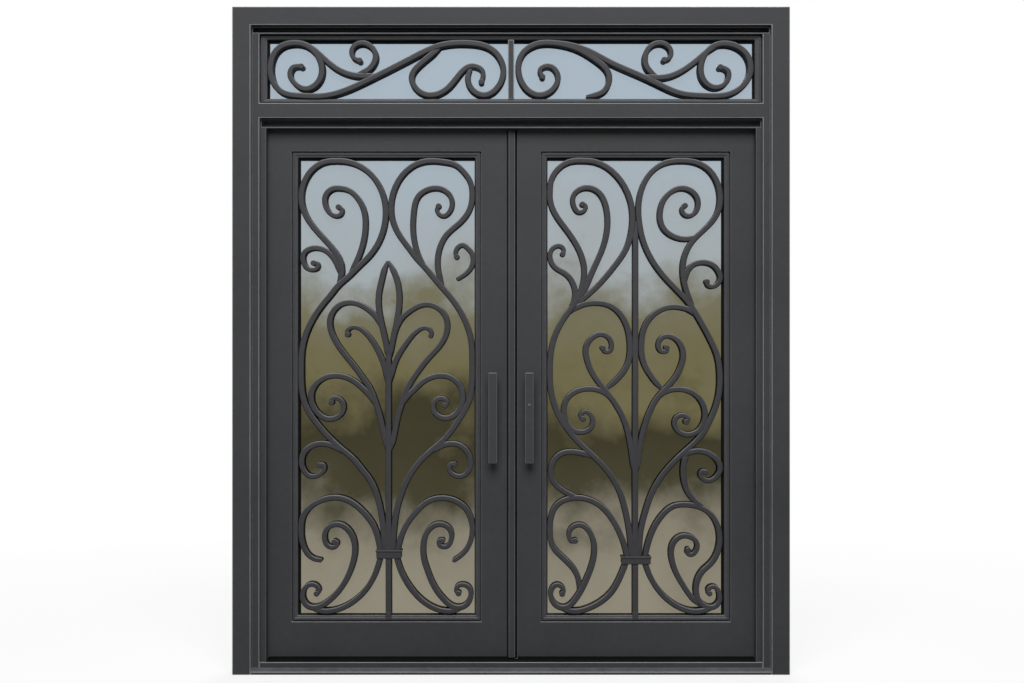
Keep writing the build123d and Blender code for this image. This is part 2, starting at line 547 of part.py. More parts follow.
for side, hand in (("left", -1), ("right", 1)):
    meeting_edge = meeting_edges[side]
    opening = (tuple(sorted((hand * (rail_ends[0] + bead_face), hand * (rail_ends[1] - bead_face)))),
               (rail_levels[0] + bead_face, rail_levels[1] - bead_face))

    with BuildPart() as hinge_stile:
        slab((hand * rail_ends[1], hand * leaf_outer), (leaf_low, leaf_high), leaf_front, leaf_back)
    hand_over(hinge_stile, f"{side}_hinge_stile")

    # The meeting edge is bevelled back from the street face
    with BuildPart() as meeting_stile:
        with BuildSketch(Plane.XY.offset(leaf_low)):
            with BuildLine():
                Polyline((hand * rail_ends[0], leaf_front), (hand * meeting_edge, leaf_front),
                         (hand * (meeting_edge + meeting_bevel), leaf_back),
                         (hand * rail_ends[0], leaf_back), close=True)
            make_face()
        extrude(amount=leaf_high - leaf_low)
    hand_over(meeting_stile, f"{side}_meeting_stile")

    for level, z_ends in (("bottom", (leaf_low, rail_levels[0])), ("top", (rail_levels[1], leaf_high))):
        with BuildPart() as rail:
            slab((hand * rail_ends[0], hand * rail_ends[1]), z_ends, leaf_front, leaf_back)
        hand_over(rail, f"{side}_{level}_rail")

    # Glazing beads, stepped on the street side with a groove beside the stiles and rails
    stepped_face = bead_face - bead_groove_width
    bead_steps = (
        (bead_front, bead_front + bead_groove_depth, stepped_face),
        (bead_front + bead_groove_depth, glass_front, bead_face),
        (glass_back, glass_back + inner_bead_thickness, bead_face),
    )
    for kind, sides in (("rails", ("bottom", "top")), ("stiles", ("left", "right"))):
        with BuildPart() as beads:
            for edge in sides:
                for y_front, y_back, face in bead_steps:
                    outline(mitred_side(opening, edge, (0, 0), (face, face)), y_front, y_back)
        hand_over(beads, f"{side}_bead_{kind}")

    with BuildPart() as glass:
        slab((hand * (rail_ends[0] + glass_edge_gap), hand * (rail_ends[1] - glass_edge_gap)),
             (rail_levels[0] + glass_edge_gap, rail_levels[1] - glass_edge_gap), glass_front, glass_back)
    hand_over(glass, f"{side}_glass")

    with BuildPart() as leaf_scrollwork:
        scrollwork(leaf_bars[side], opening, grille_front)
    hand_over(leaf_scrollwork, f"{side}_scrollwork")

    # Collar: a band round the neck of the scrollwork, with a lip along its top
    (collar_across, collar_up), collar_width, collar_height = collars[side]
    collar_x = opening[0][0] + collar_across * (opening[0][1] - opening[0][0])
    collar_low = opening[1][0] + collar_up * (opening[1][1] - opening[1][0]) - collar_height / 2
    collar_back = glass_front - grille_gap
    bundle_back = grille_front + bar_depth + grille_gap
    with BuildPart() as collar:
        for z_low, height, overhang in ((collar_low, collar_height, 0),
                                        (collar_low + collar_height - collar_lip_height, collar_lip_height,
                                         collar_lip_overhang)):
            collar_front = grille_front - collar_front_wall - overhang
            with BuildSketch(Plane.XY.offset(z_low)):
                with Locations((collar_x, (collar_front + collar_back) / 2)):
                    Rectangle(collar_width + 2 * overhang, collar_back - collar_front)
            extrude(amount=height)
        with BuildSketch(Plane.XY.offset(collar_low)):
            with Locations((collar_x, (grille_front + bundle_back) / 2)):
                Rectangle(collar_width - 2 * collar_wall, bundle_back - grille_front)
        extrude(amount=collar_height, mode=Mode.SUBTRACT)
    hand_over(collar, f"{side}_collar")

    # Pull handles back to back, each a bar on two posts
    pull_x = hand * pull_reach
    pull_faces = (
        (leaf_front - pull_standoff - pull_thickness, leaf_front - pull_standoff, leaf_front),
        (leaf_back + pull_standoff, leaf_back + pull_standoff + pull_thickness, leaf_back),
    )
    with BuildPart() as pull_bars:
        for y_front, y_back, leaf_face in pull_faces:
            with BuildSketch(Plane.XY.offset(pull_foot_level)) as section:
                with Locations((pull_x, (y_front + y_back) / 2)):
                    Rectangle(pull_width, pull_thickness)
                chamfer(section.vertices(), length=pull_edge_chamfer)
            extrude(amount=pull_length)
    hand_over(pull_bars, f"{side}_pull_bars")

    with BuildPart() as pull_posts:
        for y_front, y_back, leaf_face in pull_faces:
            post_back = max(leaf_face, y_front)
            with BuildSketch(Plane.XZ.offset(-post_back)):
                with Locations((pull_x, pull_foot_level + pull_post_inset),
                               (pull_x, pull_foot_level + pull_length - pull_post_inset)):
                    Rectangle(pull_post_width, pull_post_width)
            extrude(amount=pull_standoff)
    hand_over(pull_posts, f"{side}_pull_posts")

    # Hinges: the jamb half carries the pin, and the leaf half turns on it
    hinge_x = hand * hinge_axis_x
    knuckle_height = (hinge_height - hinge_knuckle_gap) / 2
    hinge_lows = [leaf_low + share * (leaf_high - leaf_low) - hinge_height / 2 for share in hinge_level_shares]

    with BuildPart() as jamb_hinges:
        for low in hinge_lows:
            slab((hinge_x + hand * hinge_tab_lap, hinge_x + hand * (hinge_tab_lap + hinge_tab_width)),
                 (low, low + knuckle_height), leaf_back, leaf_back + hinge_tab_thickness)
            for radius, height in ((hinge_barrel_radius, knuckle_height),
                                   (hinge_pin_radius, knuckle_height + hinge_pin_reach)):
                with BuildSketch(Plane.XY.offset(low)):
                    with Locations((hinge_x, hinge_axis_y)):
                        Circle(radius)
                extrude(amount=height)
    hand_over(jamb_hinges, f"{side}_jamb_hinges")

    with BuildPart() as leaf_hinges:
        for low in hinge_lows:
            knuckle_low = low + knuckle_height + hinge_knuckle_gap
            slab((hinge_x - hand * hinge_tab_lap, hinge_x - hand * (hinge_tab_lap + hinge_tab_width)),
                 (knuckle_low, knuckle_low + knuckle_height), leaf_back, leaf_back + hinge_tab_thickness)
            for radius, height, mode in ((hinge_barrel_radius, knuckle_height, Mode.ADD),
                                         (hinge_pin_radius + hinge_pin_clearance, hinge_pin_reach,
                                          Mode.SUBTRACT)):
                with BuildSketch(Plane.XY.offset(knuckle_low)):
                    with Locations((hinge_x, hinge_axis_y)):
                        Circle(radius)
                extrude(amount=height, mode=mode)
    hand_over(leaf_hinges, f"{side}_leaf_hinges")

# Astragal: a strip along the left leaf's meeting edge, which stops short of the head stop
with BuildPart() as astragal:
    slab((-astragal_width / 2, astragal_width / 2),
         (leaf_low, transom_bar_level - head_stop_height - leaf_side_gap),
         leaf_front - astragal_thickness, leaf_front)
hand_over(astragal, "left_astragal")

# Lock cylinder in the street face of the right pull
with BuildPart() as lock_cylinder:
    with BuildSketch(Plane.XZ.offset(pull_standoff + pull_thickness - leaf_front)):
        with Locations((pull_reach, lock_level)):
            Circle(lock_radius)
    extrude(amount=lock_projection)
hand_over(lock_cylinder, "right_lock_cylinder")
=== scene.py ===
import logging
import math
from dataclasses import dataclass
from enum import Enum
from typing import Callable

import bmesh
import bpy
import numpy as np
from mathutils import Matrix, Vector


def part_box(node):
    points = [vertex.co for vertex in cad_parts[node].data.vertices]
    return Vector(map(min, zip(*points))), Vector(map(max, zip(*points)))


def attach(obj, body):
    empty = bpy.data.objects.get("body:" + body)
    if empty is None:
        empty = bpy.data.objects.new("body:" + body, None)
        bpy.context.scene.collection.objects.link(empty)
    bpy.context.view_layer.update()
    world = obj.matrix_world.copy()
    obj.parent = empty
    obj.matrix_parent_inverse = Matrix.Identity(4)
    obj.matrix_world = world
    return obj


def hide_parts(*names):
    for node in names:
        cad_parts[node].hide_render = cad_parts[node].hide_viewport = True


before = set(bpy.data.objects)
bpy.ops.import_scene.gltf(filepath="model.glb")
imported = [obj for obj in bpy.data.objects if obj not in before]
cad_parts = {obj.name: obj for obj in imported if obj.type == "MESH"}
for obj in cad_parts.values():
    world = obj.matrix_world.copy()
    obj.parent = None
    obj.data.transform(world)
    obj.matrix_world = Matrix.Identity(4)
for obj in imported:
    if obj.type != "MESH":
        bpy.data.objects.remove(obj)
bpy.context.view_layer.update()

# Wrought iron double door with a fixed transom light, dressed for the studio.
# All sizes are in metres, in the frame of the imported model: X along the wall, Y into the room, Z up.

log = logging.getLogger("double_door")

Point = tuple[float, float]
Place = tuple[float, float, float]
Span = tuple[float, float]
Colour = tuple[float, float, float, float]


class End(Enum):
    """How a scroll bar finishes."""

    WELD = "weld"
    TIP = "tip"
    KNOB = "knob"


class Side(Enum):
    """The side of the door that a leaf is on, seen from the street."""

    LEFT = "left"
    RIGHT = "right"

    @property
    def hand(self) -> int:
        """Gives the sign of X on this side."""
        return -1 if self is Side.LEFT else 1


class Tone(Enum):
    """The finish of a scroll bar's face, by the number of its material slot: plain, painted shade or painted
    highlight.
    """

    FACE = 0
    FLANK = 1
    ARRIS = 2


WELD, TIP, KNOB = End.WELD, End.TIP, End.KNOB
Bar = tuple[list[Point], End, End]

# Where the scroll bars run, as shares of the width and height of the glazed opening.
# Each bar is its points, then what its first and last ends are.
left_leaf_shares: list[Bar] = [
    # stem
    ([(0.511, 0), (0.51, 0.30), (0.51, 0.45), (0.51, 0.585)], WELD, WELD),
    # lower loops, from the collar to their cut ends
    ([(0.468, 0.124), (0.422, 0.198), (0.378, 0.221), (0.27, 0.2525), (0.21, 0.257), (0.028, 0.215),
      (0.0175, 0.195), (0.085, 0.1238), (0.125, 0.120)], WELD, TIP),
    ([(0.557, 0.124), (0.564, 0.145), (0.613, 0.198), (0.656, 0.221), (0.75, 0.2515), (0.915, 0.244),
      (0.957, 0.2265), (0.977, 0.167), (0.935, 0.136), (0.882, 0.120)], WELD, TIP),
    # lower S scrolls
    ([(0.205, 0.1605), (0.219, 0.1585), (0.2155, 0.1515), (0.1676, 0.1517), (0.152, 0.162),
      (0.164, 0.1887), (0.224, 0.1987), (0.2958, 0.1797), (0.294, 0.0966), (0.1746, 0.0313),
      (0.083, 0.0163), (0.048, 0.0218), (0.028, 0.034), (0.041, 0.060), (0.076, 0.0672),
      (0.1077, 0.0618), (0.1165, 0.0525), (0.104, 0.0468)], KNOB, KNOB),
    ([(0.8134, 0.1625), (0.7986, 0.1632), (0.794, 0.157), (0.831, 0.149), (0.865, 0.166), (0.851, 0.19),
      (0.791, 0.1987), (0.7275, 0.181), (0.7056, 0.1457), (0.711, 0.121), (0.731, 0.0966),
      (0.7556, 0.072), (0.833, 0.030), (0.875, 0.0185), (0.953, 0.0237), (0.9577, 0.0626),
      (0.8986, 0.062), (0.893, 0.053), (0.9056, 0.0475)], KNOB, KNOB),
    # bottom arcs
    ([(0.474, 0.142), (0.4615, 0.1226), (0.445, 0.1008), (0.392, 0.0601), (0.2975, 0.0257),
      (0.1707, 0.0085), (0.126, 0.0098), (0.083, 0.0158), (0.050, 0.0212)], WELD, WELD),
    ([(0.546, 0.142), (0.5585, 0.1226), (0.5746, 0.1023), (0.6315, 0.061), (0.7245, 0.0246),
      (0.842, 0.0085), (0.880, 0.0100), (0.915, 0.0155), (0.950, 0.0225)], WELD, WELD),
    # long S bars, which turn into the inner sides of the upper teardrops
    ([(0.492, 0.124), (0.460, 0.24), (0.398, 0.30), (0.357, 0.32), (0.315, 0.34), (0.255, 0.36),
      (0.104, 0.42), (0.041, 0.46), (0.0175, 0.54), (0.022, 0.58), (0.141, 0.68), (0.184, 0.70),
      (0.226, 0.72), (0.287, 0.741), (0.3296, 0.7576), (0.407, 0.7875), (0.481, 0.842), (0.477, 0.921),
      (0.375, 0.9754), (0.266, 0.992), (0.217, 0.993), (0.168, 0.992)], WELD, WELD),
    ([(0.530, 0.124), (0.538, 0.17), (0.563, 0.24), (0.579, 0.26), (0.597, 0.28), (0.751, 0.36),
      (0.812, 0.38), (0.928, 0.44), (0.956, 0.46), (0.982, 0.55), (0.976, 0.60), (0.8486, 0.70),
      (0.803, 0.72), (0.7155, 0.76), (0.668, 0.78), (0.6285, 0.80), (0.557, 0.84), (0.525, 0.88),
      (0.639, 0.98), (0.71, 0.9915), (0.773, 0.993), (0.822, 0.991)], WELD, WELD),
    # outer sides of the upper teardrops
    ([(0.268, 0.992), (0.217, 0.993), (0.1676, 0.992), (0.118, 0.9855), (0.0175, 0.918), (0.062, 0.861),
      (0.2465, 0.752), (0.222, 0.719)], WELD, WELD),
    ([(0.715, 0.9918), (0.773, 0.993), (0.822, 0.991), (0.893, 0.9835), (0.935, 0.9686), (0.967, 0.951),
      (0.982, 0.913), (0.974, 0.8937), (0.921, 0.861), (0.84, 0.8325), (0.789, 0.7576), (0.817, 0.718)],
     WELD, WELD),
    # curls inside the teardrops
    ([(0.288, 0.744), (0.315, 0.762), (0.380, 0.86), (0.374, 0.88), (0.3225, 0.9175), (0.287, 0.9285),
      (0.238, 0.9335), (0.196, 0.9324), (0.162, 0.9223), (0.15, 0.907), (0.213, 0.873), (0.2415, 0.8774),
      (0.2455, 0.887), (0.228, 0.8925)], WELD, KNOB),
    ([(0.735, 0.749), (0.708, 0.764), (0.6486, 0.84), (0.652, 0.88), (0.680, 0.9165), (0.805, 0.9324),
      (0.866, 0.91), (0.851, 0.88), (0.8225, 0.873), (0.794, 0.8774), (0.784, 0.887), (0.793, 0.8945)],
     WELD, KNOB),
    # side curls below the teardrops
    ([(0.243, 0.738), (0.22, 0.766), (0.1535, 0.797), (0.062, 0.8003), (0.034, 0.7916), (0.037, 0.765),
      (0.062, 0.756), (0.111, 0.7617), (0.106, 0.769), (0.087, 0.770)], WELD, KNOB),
    ([(0.895, 0.7834), (0.889, 0.7943), (0.928, 0.8093), (0.956, 0.8025), (0.981, 0.7902),
      (0.979, 0.7617), (0.9035, 0.7358)], KNOB, TIP),
    # almond at the head of the stem
    ([(0.5075, 0.774), (0.490, 0.760), (0.476, 0.74), (0.4545, 0.70), (0.502, 0.58), (0.509, 0.555)],
     WELD, WELD),
    ([(0.5075, 0.774), (0.528, 0.760), (0.565, 0.72), (0.534, 0.60), (0.513, 0.555)], WELD, WELD),
    # lobes either side of the stem
    ([(0.482, 0.618), (0.464, 0.6375), (0.430, 0.6560), (0.294, 0.6836), (0.245, 0.680), (0.183, 0.6515),
      (0.2204, 0.593), (0.333, 0.5358), (0.368, 0.5168), (0.40, 0.499), (0.425, 0.478), (0.506, 0.355)],
     WELD, WELD),
    ([(0.530, 0.595), (0.5845, 0.6488), (0.622, 0.6624), (0.724, 0.6796), (0.8155, 0.6624),
      (0.838, 0.646), (0.8296, 0.608), (0.724, 0.5562), (0.689, 0.5385), (0.600, 0.4814), (0.583, 0.46),
      (0.567, 0.44), (0.534, 0.38), (0.515, 0.355)], WELD, WELD),
    # hooks inside the lobes
    ([(0.503, 0.505), (0.486, 0.544), (0.449, 0.5794), (0.389, 0.6134), (0.3225, 0.6297),
      (0.291, 0.6272), (0.277, 0.620), (0.279, 0.6135)], WELD, KNOB),
    ([(0.517, 0.505), (0.556, 0.5603), (0.611, 0.5944), (0.678, 0.623), (0.7134, 0.6284),
      (0.7415, 0.6243), (0.7515, 0.6161), (0.7475, 0.61)], WELD, TIP),
    # spirals at mid height
    ([(0.451, 0.449), (0.432, 0.465), (0.365, 0.4955), (0.3225, 0.5095), (0.2204, 0.5236),
      (0.122, 0.5127), (0.0745, 0.483), (0.09, 0.4524), (0.164, 0.4292), (0.21, 0.4306), (0.257, 0.4564),
      (0.213, 0.475), (0.190, 0.4714), (0.188, 0.465)], WELD, KNOB),
    ([(0.574, 0.449), (0.592, 0.465), (0.664, 0.496), (0.703, 0.5095), (0.847, 0.5214), (0.9176, 0.4977),
      (0.914, 0.4524), (0.851, 0.4314), (0.7768, 0.44), (0.7697, 0.4668), (0.8296, 0.4714),
      (0.840, 0.4632), (0.829, 0.4585)], WELD, KNOB),
    # spirals below mid height
    ([(0.282, 0.350), (0.203, 0.3688), (0.118, 0.3748), (0.041, 0.3584), (0.023, 0.3258),
      (0.0725, 0.3034), (0.136, 0.3121), (0.148, 0.3217), (0.138, 0.329), (0.122, 0.328)], WELD, KNOB),
    ([(0.728, 0.3505), (0.8754, 0.3748), (0.914, 0.3707), (0.9725, 0.3271), (0.9246, 0.304),
      (0.863, 0.3116), (0.853, 0.323), (0.866, 0.3312), (0.882, 0.330)], WELD, KNOB),
]

right_leaf_shares: list[Bar] = [
    # stem
    ([(0.499, 0), (0.499, 0.4), (0.50, 0.6), (0.50, 0.862)], WELD, WELD),
    # lower left loop, which runs on into the foot of its S scroll
    ([(0.457, 0.112), (0.450, 0.132), (0.384, 0.20), (0.298, 0.24), (0.17, 0.2565), (0.058, 0.2409),
      (0.018, 0.1838), (0.037, 0.1484), (0.065, 0.1348), (0.16, 0.0953), (0.183, 0.064), (0.178, 0.047)],
     WELD, WELD),
    # lower left S scroll
    ([(0.160, 0.1625), (0.143, 0.1614), (0.126, 0.1797), (0.1877, 0.1973), (0.246, 0.1788),
      (0.263, 0.1225), (0.228, 0.0817), (0.1527, 0.03), (0.1176, 0.0182), (0.081, 0.0163),
      (0.0266, 0.0354), (0.037, 0.0618), (0.06, 0.0661), (0.0945, 0.0535), (0.087, 0.0463)], KNOB, KNOB),
    # bottom arcs
    ([(0.458, 0.130), (0.444, 0.1117), (0.4258, 0.0936), (0.3653, 0.050), (0.2465, 0.0165),
      (0.172, 0.0085), (0.122, 0.0100), (0.085, 0.0155), (0.052, 0.0230)], WELD, WELD),
    ([(0.541, 0.130), (0.5563, 0.1128), (0.5731, 0.0936), (0.6359, 0.0518), (0.7507, 0.0163),
      (0.8207, 0.0085), (0.88, 0.0098), (0.928, 0.0160), (0.958, 0.0215)], WELD, WELD),
    # lower right loop, which ends in a foot curl
    ([(0.549, 0.112), (0.557, 0.132), (0.6555, 0.22), (0.713, 0.2375), (0.78, 0.2415), (0.888, 0.2314),
      (0.93, 0.2178), (0.973, 0.181), (0.923, 0.1116), (0.888, 0.0994), (0.846, 0.0694), (0.87, 0.0265),
      (0.937, 0.0172), (0.965, 0.0245), (0.972, 0.049), (0.954, 0.06), (0.9265, 0.0612), (0.911, 0.0544),
      (0.918, 0.0475)], WELD, KNOB),
    # curl inside the lower right loop
    ([(0.868, 0.0195), (0.8255, 0.0345), (0.786, 0.0550), (0.706, 0.121), (0.7115, 0.1552),
      (0.7654, 0.1729), (0.848, 0.1565), (0.8305, 0.1348), (0.8074, 0.132), (0.792, 0.1375),
      (0.798, 0.1425)], WELD, KNOB),
    # long left S bar, up to the joint below the left teardrop
    ([(0.481, 0.112), (0.459, 0.20), (0.436, 0.24), (0.421, 0.26), (0.284, 0.34), (0.174, 0.38),
      (0.028, 0.48), (0.0175, 0.53), (0.037, 0.60), (0.1176, 0.66), (0.156, 0.68), (0.211, 0.759),
      (0.1246, 0.835), (0.0182, 0.909), (0.0178, 0.928), (0.023, 0.947), (0.114, 0.989), (0.2120, 0.9935),
      (0.268, 0.9912)], WELD, WELD),
    # right side of the left teardrop
    ([(0.150, 0.6735), (0.193, 0.6875), (0.272, 0.7141), (0.391, 0.767), (0.453, 0.805), (0.470, 0.8257),
      (0.469, 0.910), (0.272, 0.991), (0.2120, 0.9935), (0.158, 0.9925)], WELD, WELD),
    # curl inside the left teardrop
    ([(0.153, 0.6780), (0.190, 0.6960), (0.2577, 0.7508), (0.3095, 0.7957), (0.340, 0.8815), (0.2787, 0.9287),
      (0.205, 0.9338), (0.151, 0.917), (0.158, 0.8897), (0.181, 0.881), (0.219, 0.8897), (0.213, 0.897),
      (0.201, 0.8985)], WELD, KNOB),
    # side curl left of the joint
    ([(0.090, 0.7897), (0.095, 0.799), (0.079, 0.8066), (0.032, 0.8012), (0.037, 0.7644),
      (0.1036, 0.7467), (0.151, 0.7222), (0.157, 0.690), (0.114, 0.6583)], KNOB, WELD),
    # long right S bar, which turns into the left side of the right ring
    ([(0.518, 0.112), (0.523, 0.15), (0.529, 0.18), (0.552, 0.22), (0.610, 0.28), (0.786, 0.36),
      (0.886, 0.40), (0.914, 0.42), (0.957, 0.46), (0.974, 0.54), (0.966, 0.56), (0.926, 0.60),
      (0.8704, 0.64), (0.805, 0.68), (0.662, 0.74), (0.543, 0.82), (0.530, 0.84), (0.544, 0.94),
      (0.625, 0.98), (0.69, 0.991), (0.761, 0.9935), (0.814, 0.992)], WELD, WELD),
    # right side of the right ring
    ([(0.705, 0.992), (0.761, 0.9935), (0.83, 0.991), (0.918, 0.9728), (0.9615, 0.8775), (0.818, 0.8148),
      (0.7745, 0.778), (0.770, 0.740), (0.832, 0.666)], WELD, WELD),
    # spiral inside the right ring
    ([(0.872, 0.8365), (0.8464, 0.8285), (0.671, 0.8399), (0.646, 0.8557), (0.644, 0.891),
      (0.66, 0.9074), (0.769, 0.9338), (0.8424, 0.917), (0.855, 0.902), (0.825, 0.876), (0.793, 0.8734),
      (0.7685, 0.880), (0.765, 0.8897), (0.780, 0.8955)], WELD, KNOB),
    # side curl right of the ring's foot
    ([(0.779, 0.7217), (0.795, 0.7525), (0.8214, 0.7644), (0.944, 0.7636), (0.970, 0.7504),
      (0.9795, 0.7374), (0.9335, 0.7182), (0.910, 0.7215), (0.9036, 0.729)], WELD, KNOB),
    # inner ovals either side of the stem
    ([(0.130, 0.6605), (0.1807, 0.6747), (0.268, 0.6825), (0.359, 0.676), (0.4328, 0.6474),
      (0.470, 0.5875), (0.458, 0.5508), (0.333, 0.4935)], WELD, WELD),
    ([(0.8550, 0.6500), (0.804, 0.667), (0.7514, 0.673), (0.702, 0.6738), (0.611, 0.6597),
      (0.552, 0.6297), (0.534, 0.5916), (0.544, 0.5549), (0.594, 0.5195), (0.625, 0.5045),
      (0.661, 0.4915)], WELD, WELD),
    # heart curls, which run down into the stem
    ([(0.316, 0.5842), (0.330, 0.5760), (0.352, 0.5766), (0.366, 0.5875), (0.342, 0.6093),
      (0.31, 0.6142), (0.2255, 0.5902), (0.227, 0.559), (0.266, 0.5236), (0.362, 0.4755), (0.442, 0.42),
      (0.477, 0.36), (0.496, 0.305)], KNOB, WELD),
    ([(0.6755, 0.5853), (0.677, 0.5785), (0.657, 0.5756), (0.637, 0.58), (0.639, 0.6017),
      (0.6625, 0.6088), (0.723, 0.6052), (0.7696, 0.563), (0.758, 0.5453), (0.737, 0.5263),
      (0.614, 0.469), (0.594, 0.455), (0.531, 0.38), (0.523, 0.36), (0.502, 0.305)], KNOB, WELD),
    # spirals at mid height
    ([(0.400, 0.4525), (0.368, 0.4725), (0.2787, 0.4932), (0.1317, 0.4805), (0.1057, 0.4663),
      (0.149, 0.4042), (0.2297, 0.4034), (0.2556, 0.4142), (0.2437, 0.4401), (0.2157, 0.4447),
      (0.195, 0.4401), (0.194, 0.4325), (0.205, 0.4290)], WELD, KNOB),
    ([(0.604, 0.4625), (0.637, 0.4799), (0.814, 0.4877), (0.8796, 0.4619), (0.890, 0.4265),
      (0.8445, 0.3998), (0.762, 0.3971), (0.72, 0.4189), (0.7304, 0.4314), (0.783, 0.4352),
      (0.797, 0.4279), (0.786, 0.4225)], WELD, KNOB),
    # branch from the left S bar down to the lower loop
    ([(0.270, 0.3430), (0.2417, 0.3485), (0.163, 0.3562), (0.0826, 0.353), (0.0266, 0.3258),
      (0.039, 0.2917), (0.107, 0.2686), (0.149, 0.2605), (0.200, 0.2545)], WELD, WELD),
    # spiral and branch from the right S bar
    ([(0.735, 0.3395), (0.762, 0.3475), (0.9055, 0.3549), (0.9776, 0.319), (0.937, 0.2964),
      (0.9055, 0.2936), (0.868, 0.3094), (0.880, 0.3150), (0.895, 0.3125)], WELD, KNOB),
    ([(0.806, 0.3635), (0.776, 0.3367), (0.770, 0.3203), (0.811, 0.26), (0.8565, 0.2427), (0.905, 0.2265)],
     WELD, WELD),
]

left_transom_shares: list[Bar] = [
    # long wave with a spiral at each end
    ([(0.141, 0.553), (0.106, 0.535), (0.094, 0.442), (0.1135, 0.268), (0.160, 0.173), (0.207, 0.268),
      (0.227, 0.49), (0.160, 0.908), (0.11, 0.944), (0.051, 0.87), (0.0197, 0.331), (0.059, 0.125),
      (0.137, 0.0557), (0.240, 0.057), (0.418, 0.318), (0.606, 0.705), (0.708, 0.892), (0.833, 0.943),
      (0.9345, 0.832), (0.98, 0.521), (0.958, 0.205), (0.903, 0.068), (0.852, 0.157), (0.833, 0.363),
      (0.846, 0.515)], KNOB, WELD),
    # egg below it
    ([(0.7235, 0.900), (0.6765, 0.731), (0.63, 0.569), (0.60, 0.379), (0.6155, 0.189), (0.6725, 0.068),
      (0.735, 0.141), (0.794, 0.395), (0.8485, 0.559), (0.894, 0.474), (0.889, 0.293)], WELD, KNOB),
    # side wave and its curl
    ([(0.125, 0.942), (0.160, 0.908), (0.231, 0.70), (0.293, 0.50), (0.3715, 0.395), (0.455, 0.405)],
     WELD, WELD),
    ([(0.36, 0.395), (0.434, 0.553), (0.45, 0.743), (0.426, 0.90), (0.387, 0.944), (0.352, 0.838),
      (0.358, 0.70), (0.383, 0.652)], WELD, KNOB),
]

right_transom_shares: list[Bar] = [
    # ring beside the mullion, which runs on as an egg
    ([(0.118, 0.379), (0.108, 0.49), (0.141, 0.559), (0.182, 0.395), (0.163, 0.173), (0.1025, 0.0684),
      (0.044, 0.205), (0.034, 0.759), (0.0946, 0.927), (0.172, 0.94), (0.258, 0.854), (0.3437, 0.648),
      (0.394, 0.41), (0.3787, 0.157), (0.30, 0.045)], KNOB, WELD),
    # long wave with a spiral at its end
    ([(0.128, 0.944), (0.172, 0.94), (0.297, 0.832), (0.398, 0.623), (0.507, 0.4265), (0.608, 0.236),
      (0.686, 0.103), (0.787, 0.0557), (0.888, 0.078), (0.954, 0.236), (0.983, 0.49), (0.965, 0.759),
      (0.896, 0.927), (0.826, 0.886), (0.7755, 0.49), (0.791, 0.2997), (0.834, 0.198), (0.8845, 0.2997),
      (0.888, 0.483), (0.857, 0.540)], WELD, KNOB),
    # side wave and its curl
    ([(0.530, 0.390), (0.639, 0.379), (0.709, 0.505), (0.775, 0.71), (0.828, 0.87), (0.864, 0.925)],
     WELD, WELD),
    ([(0.600, 0.360), (0.55, 0.553), (0.546, 0.743), (0.577, 0.917), (0.624, 0.933), (0.652, 0.806),
      (0.644, 0.69), (0.624, 0.664)], WELD, KNOB),
]


@dataclass(frozen=True)
class Loop:
    """One rectangular line of a moulding, seen from the street, at its own depth."""

    x_low: float
    x_high: float
    z_low: float
    z_high: float
    y: float

    def shrunk(self, across: float, up: float, y: float) -> "Loop":
        """Gives the loop that lies inside this one by the two widths, at another depth."""
        return Loop(self.x_low + across, self.x_high - across, self.z_low + up, self.z_high - up, y)

    def corner(self, right: bool, high: bool) -> Vector:
        """Gives one corner of the loop."""
        return Vector((self.x_high if right else self.x_low, self.y, self.z_high if high else self.z_low))


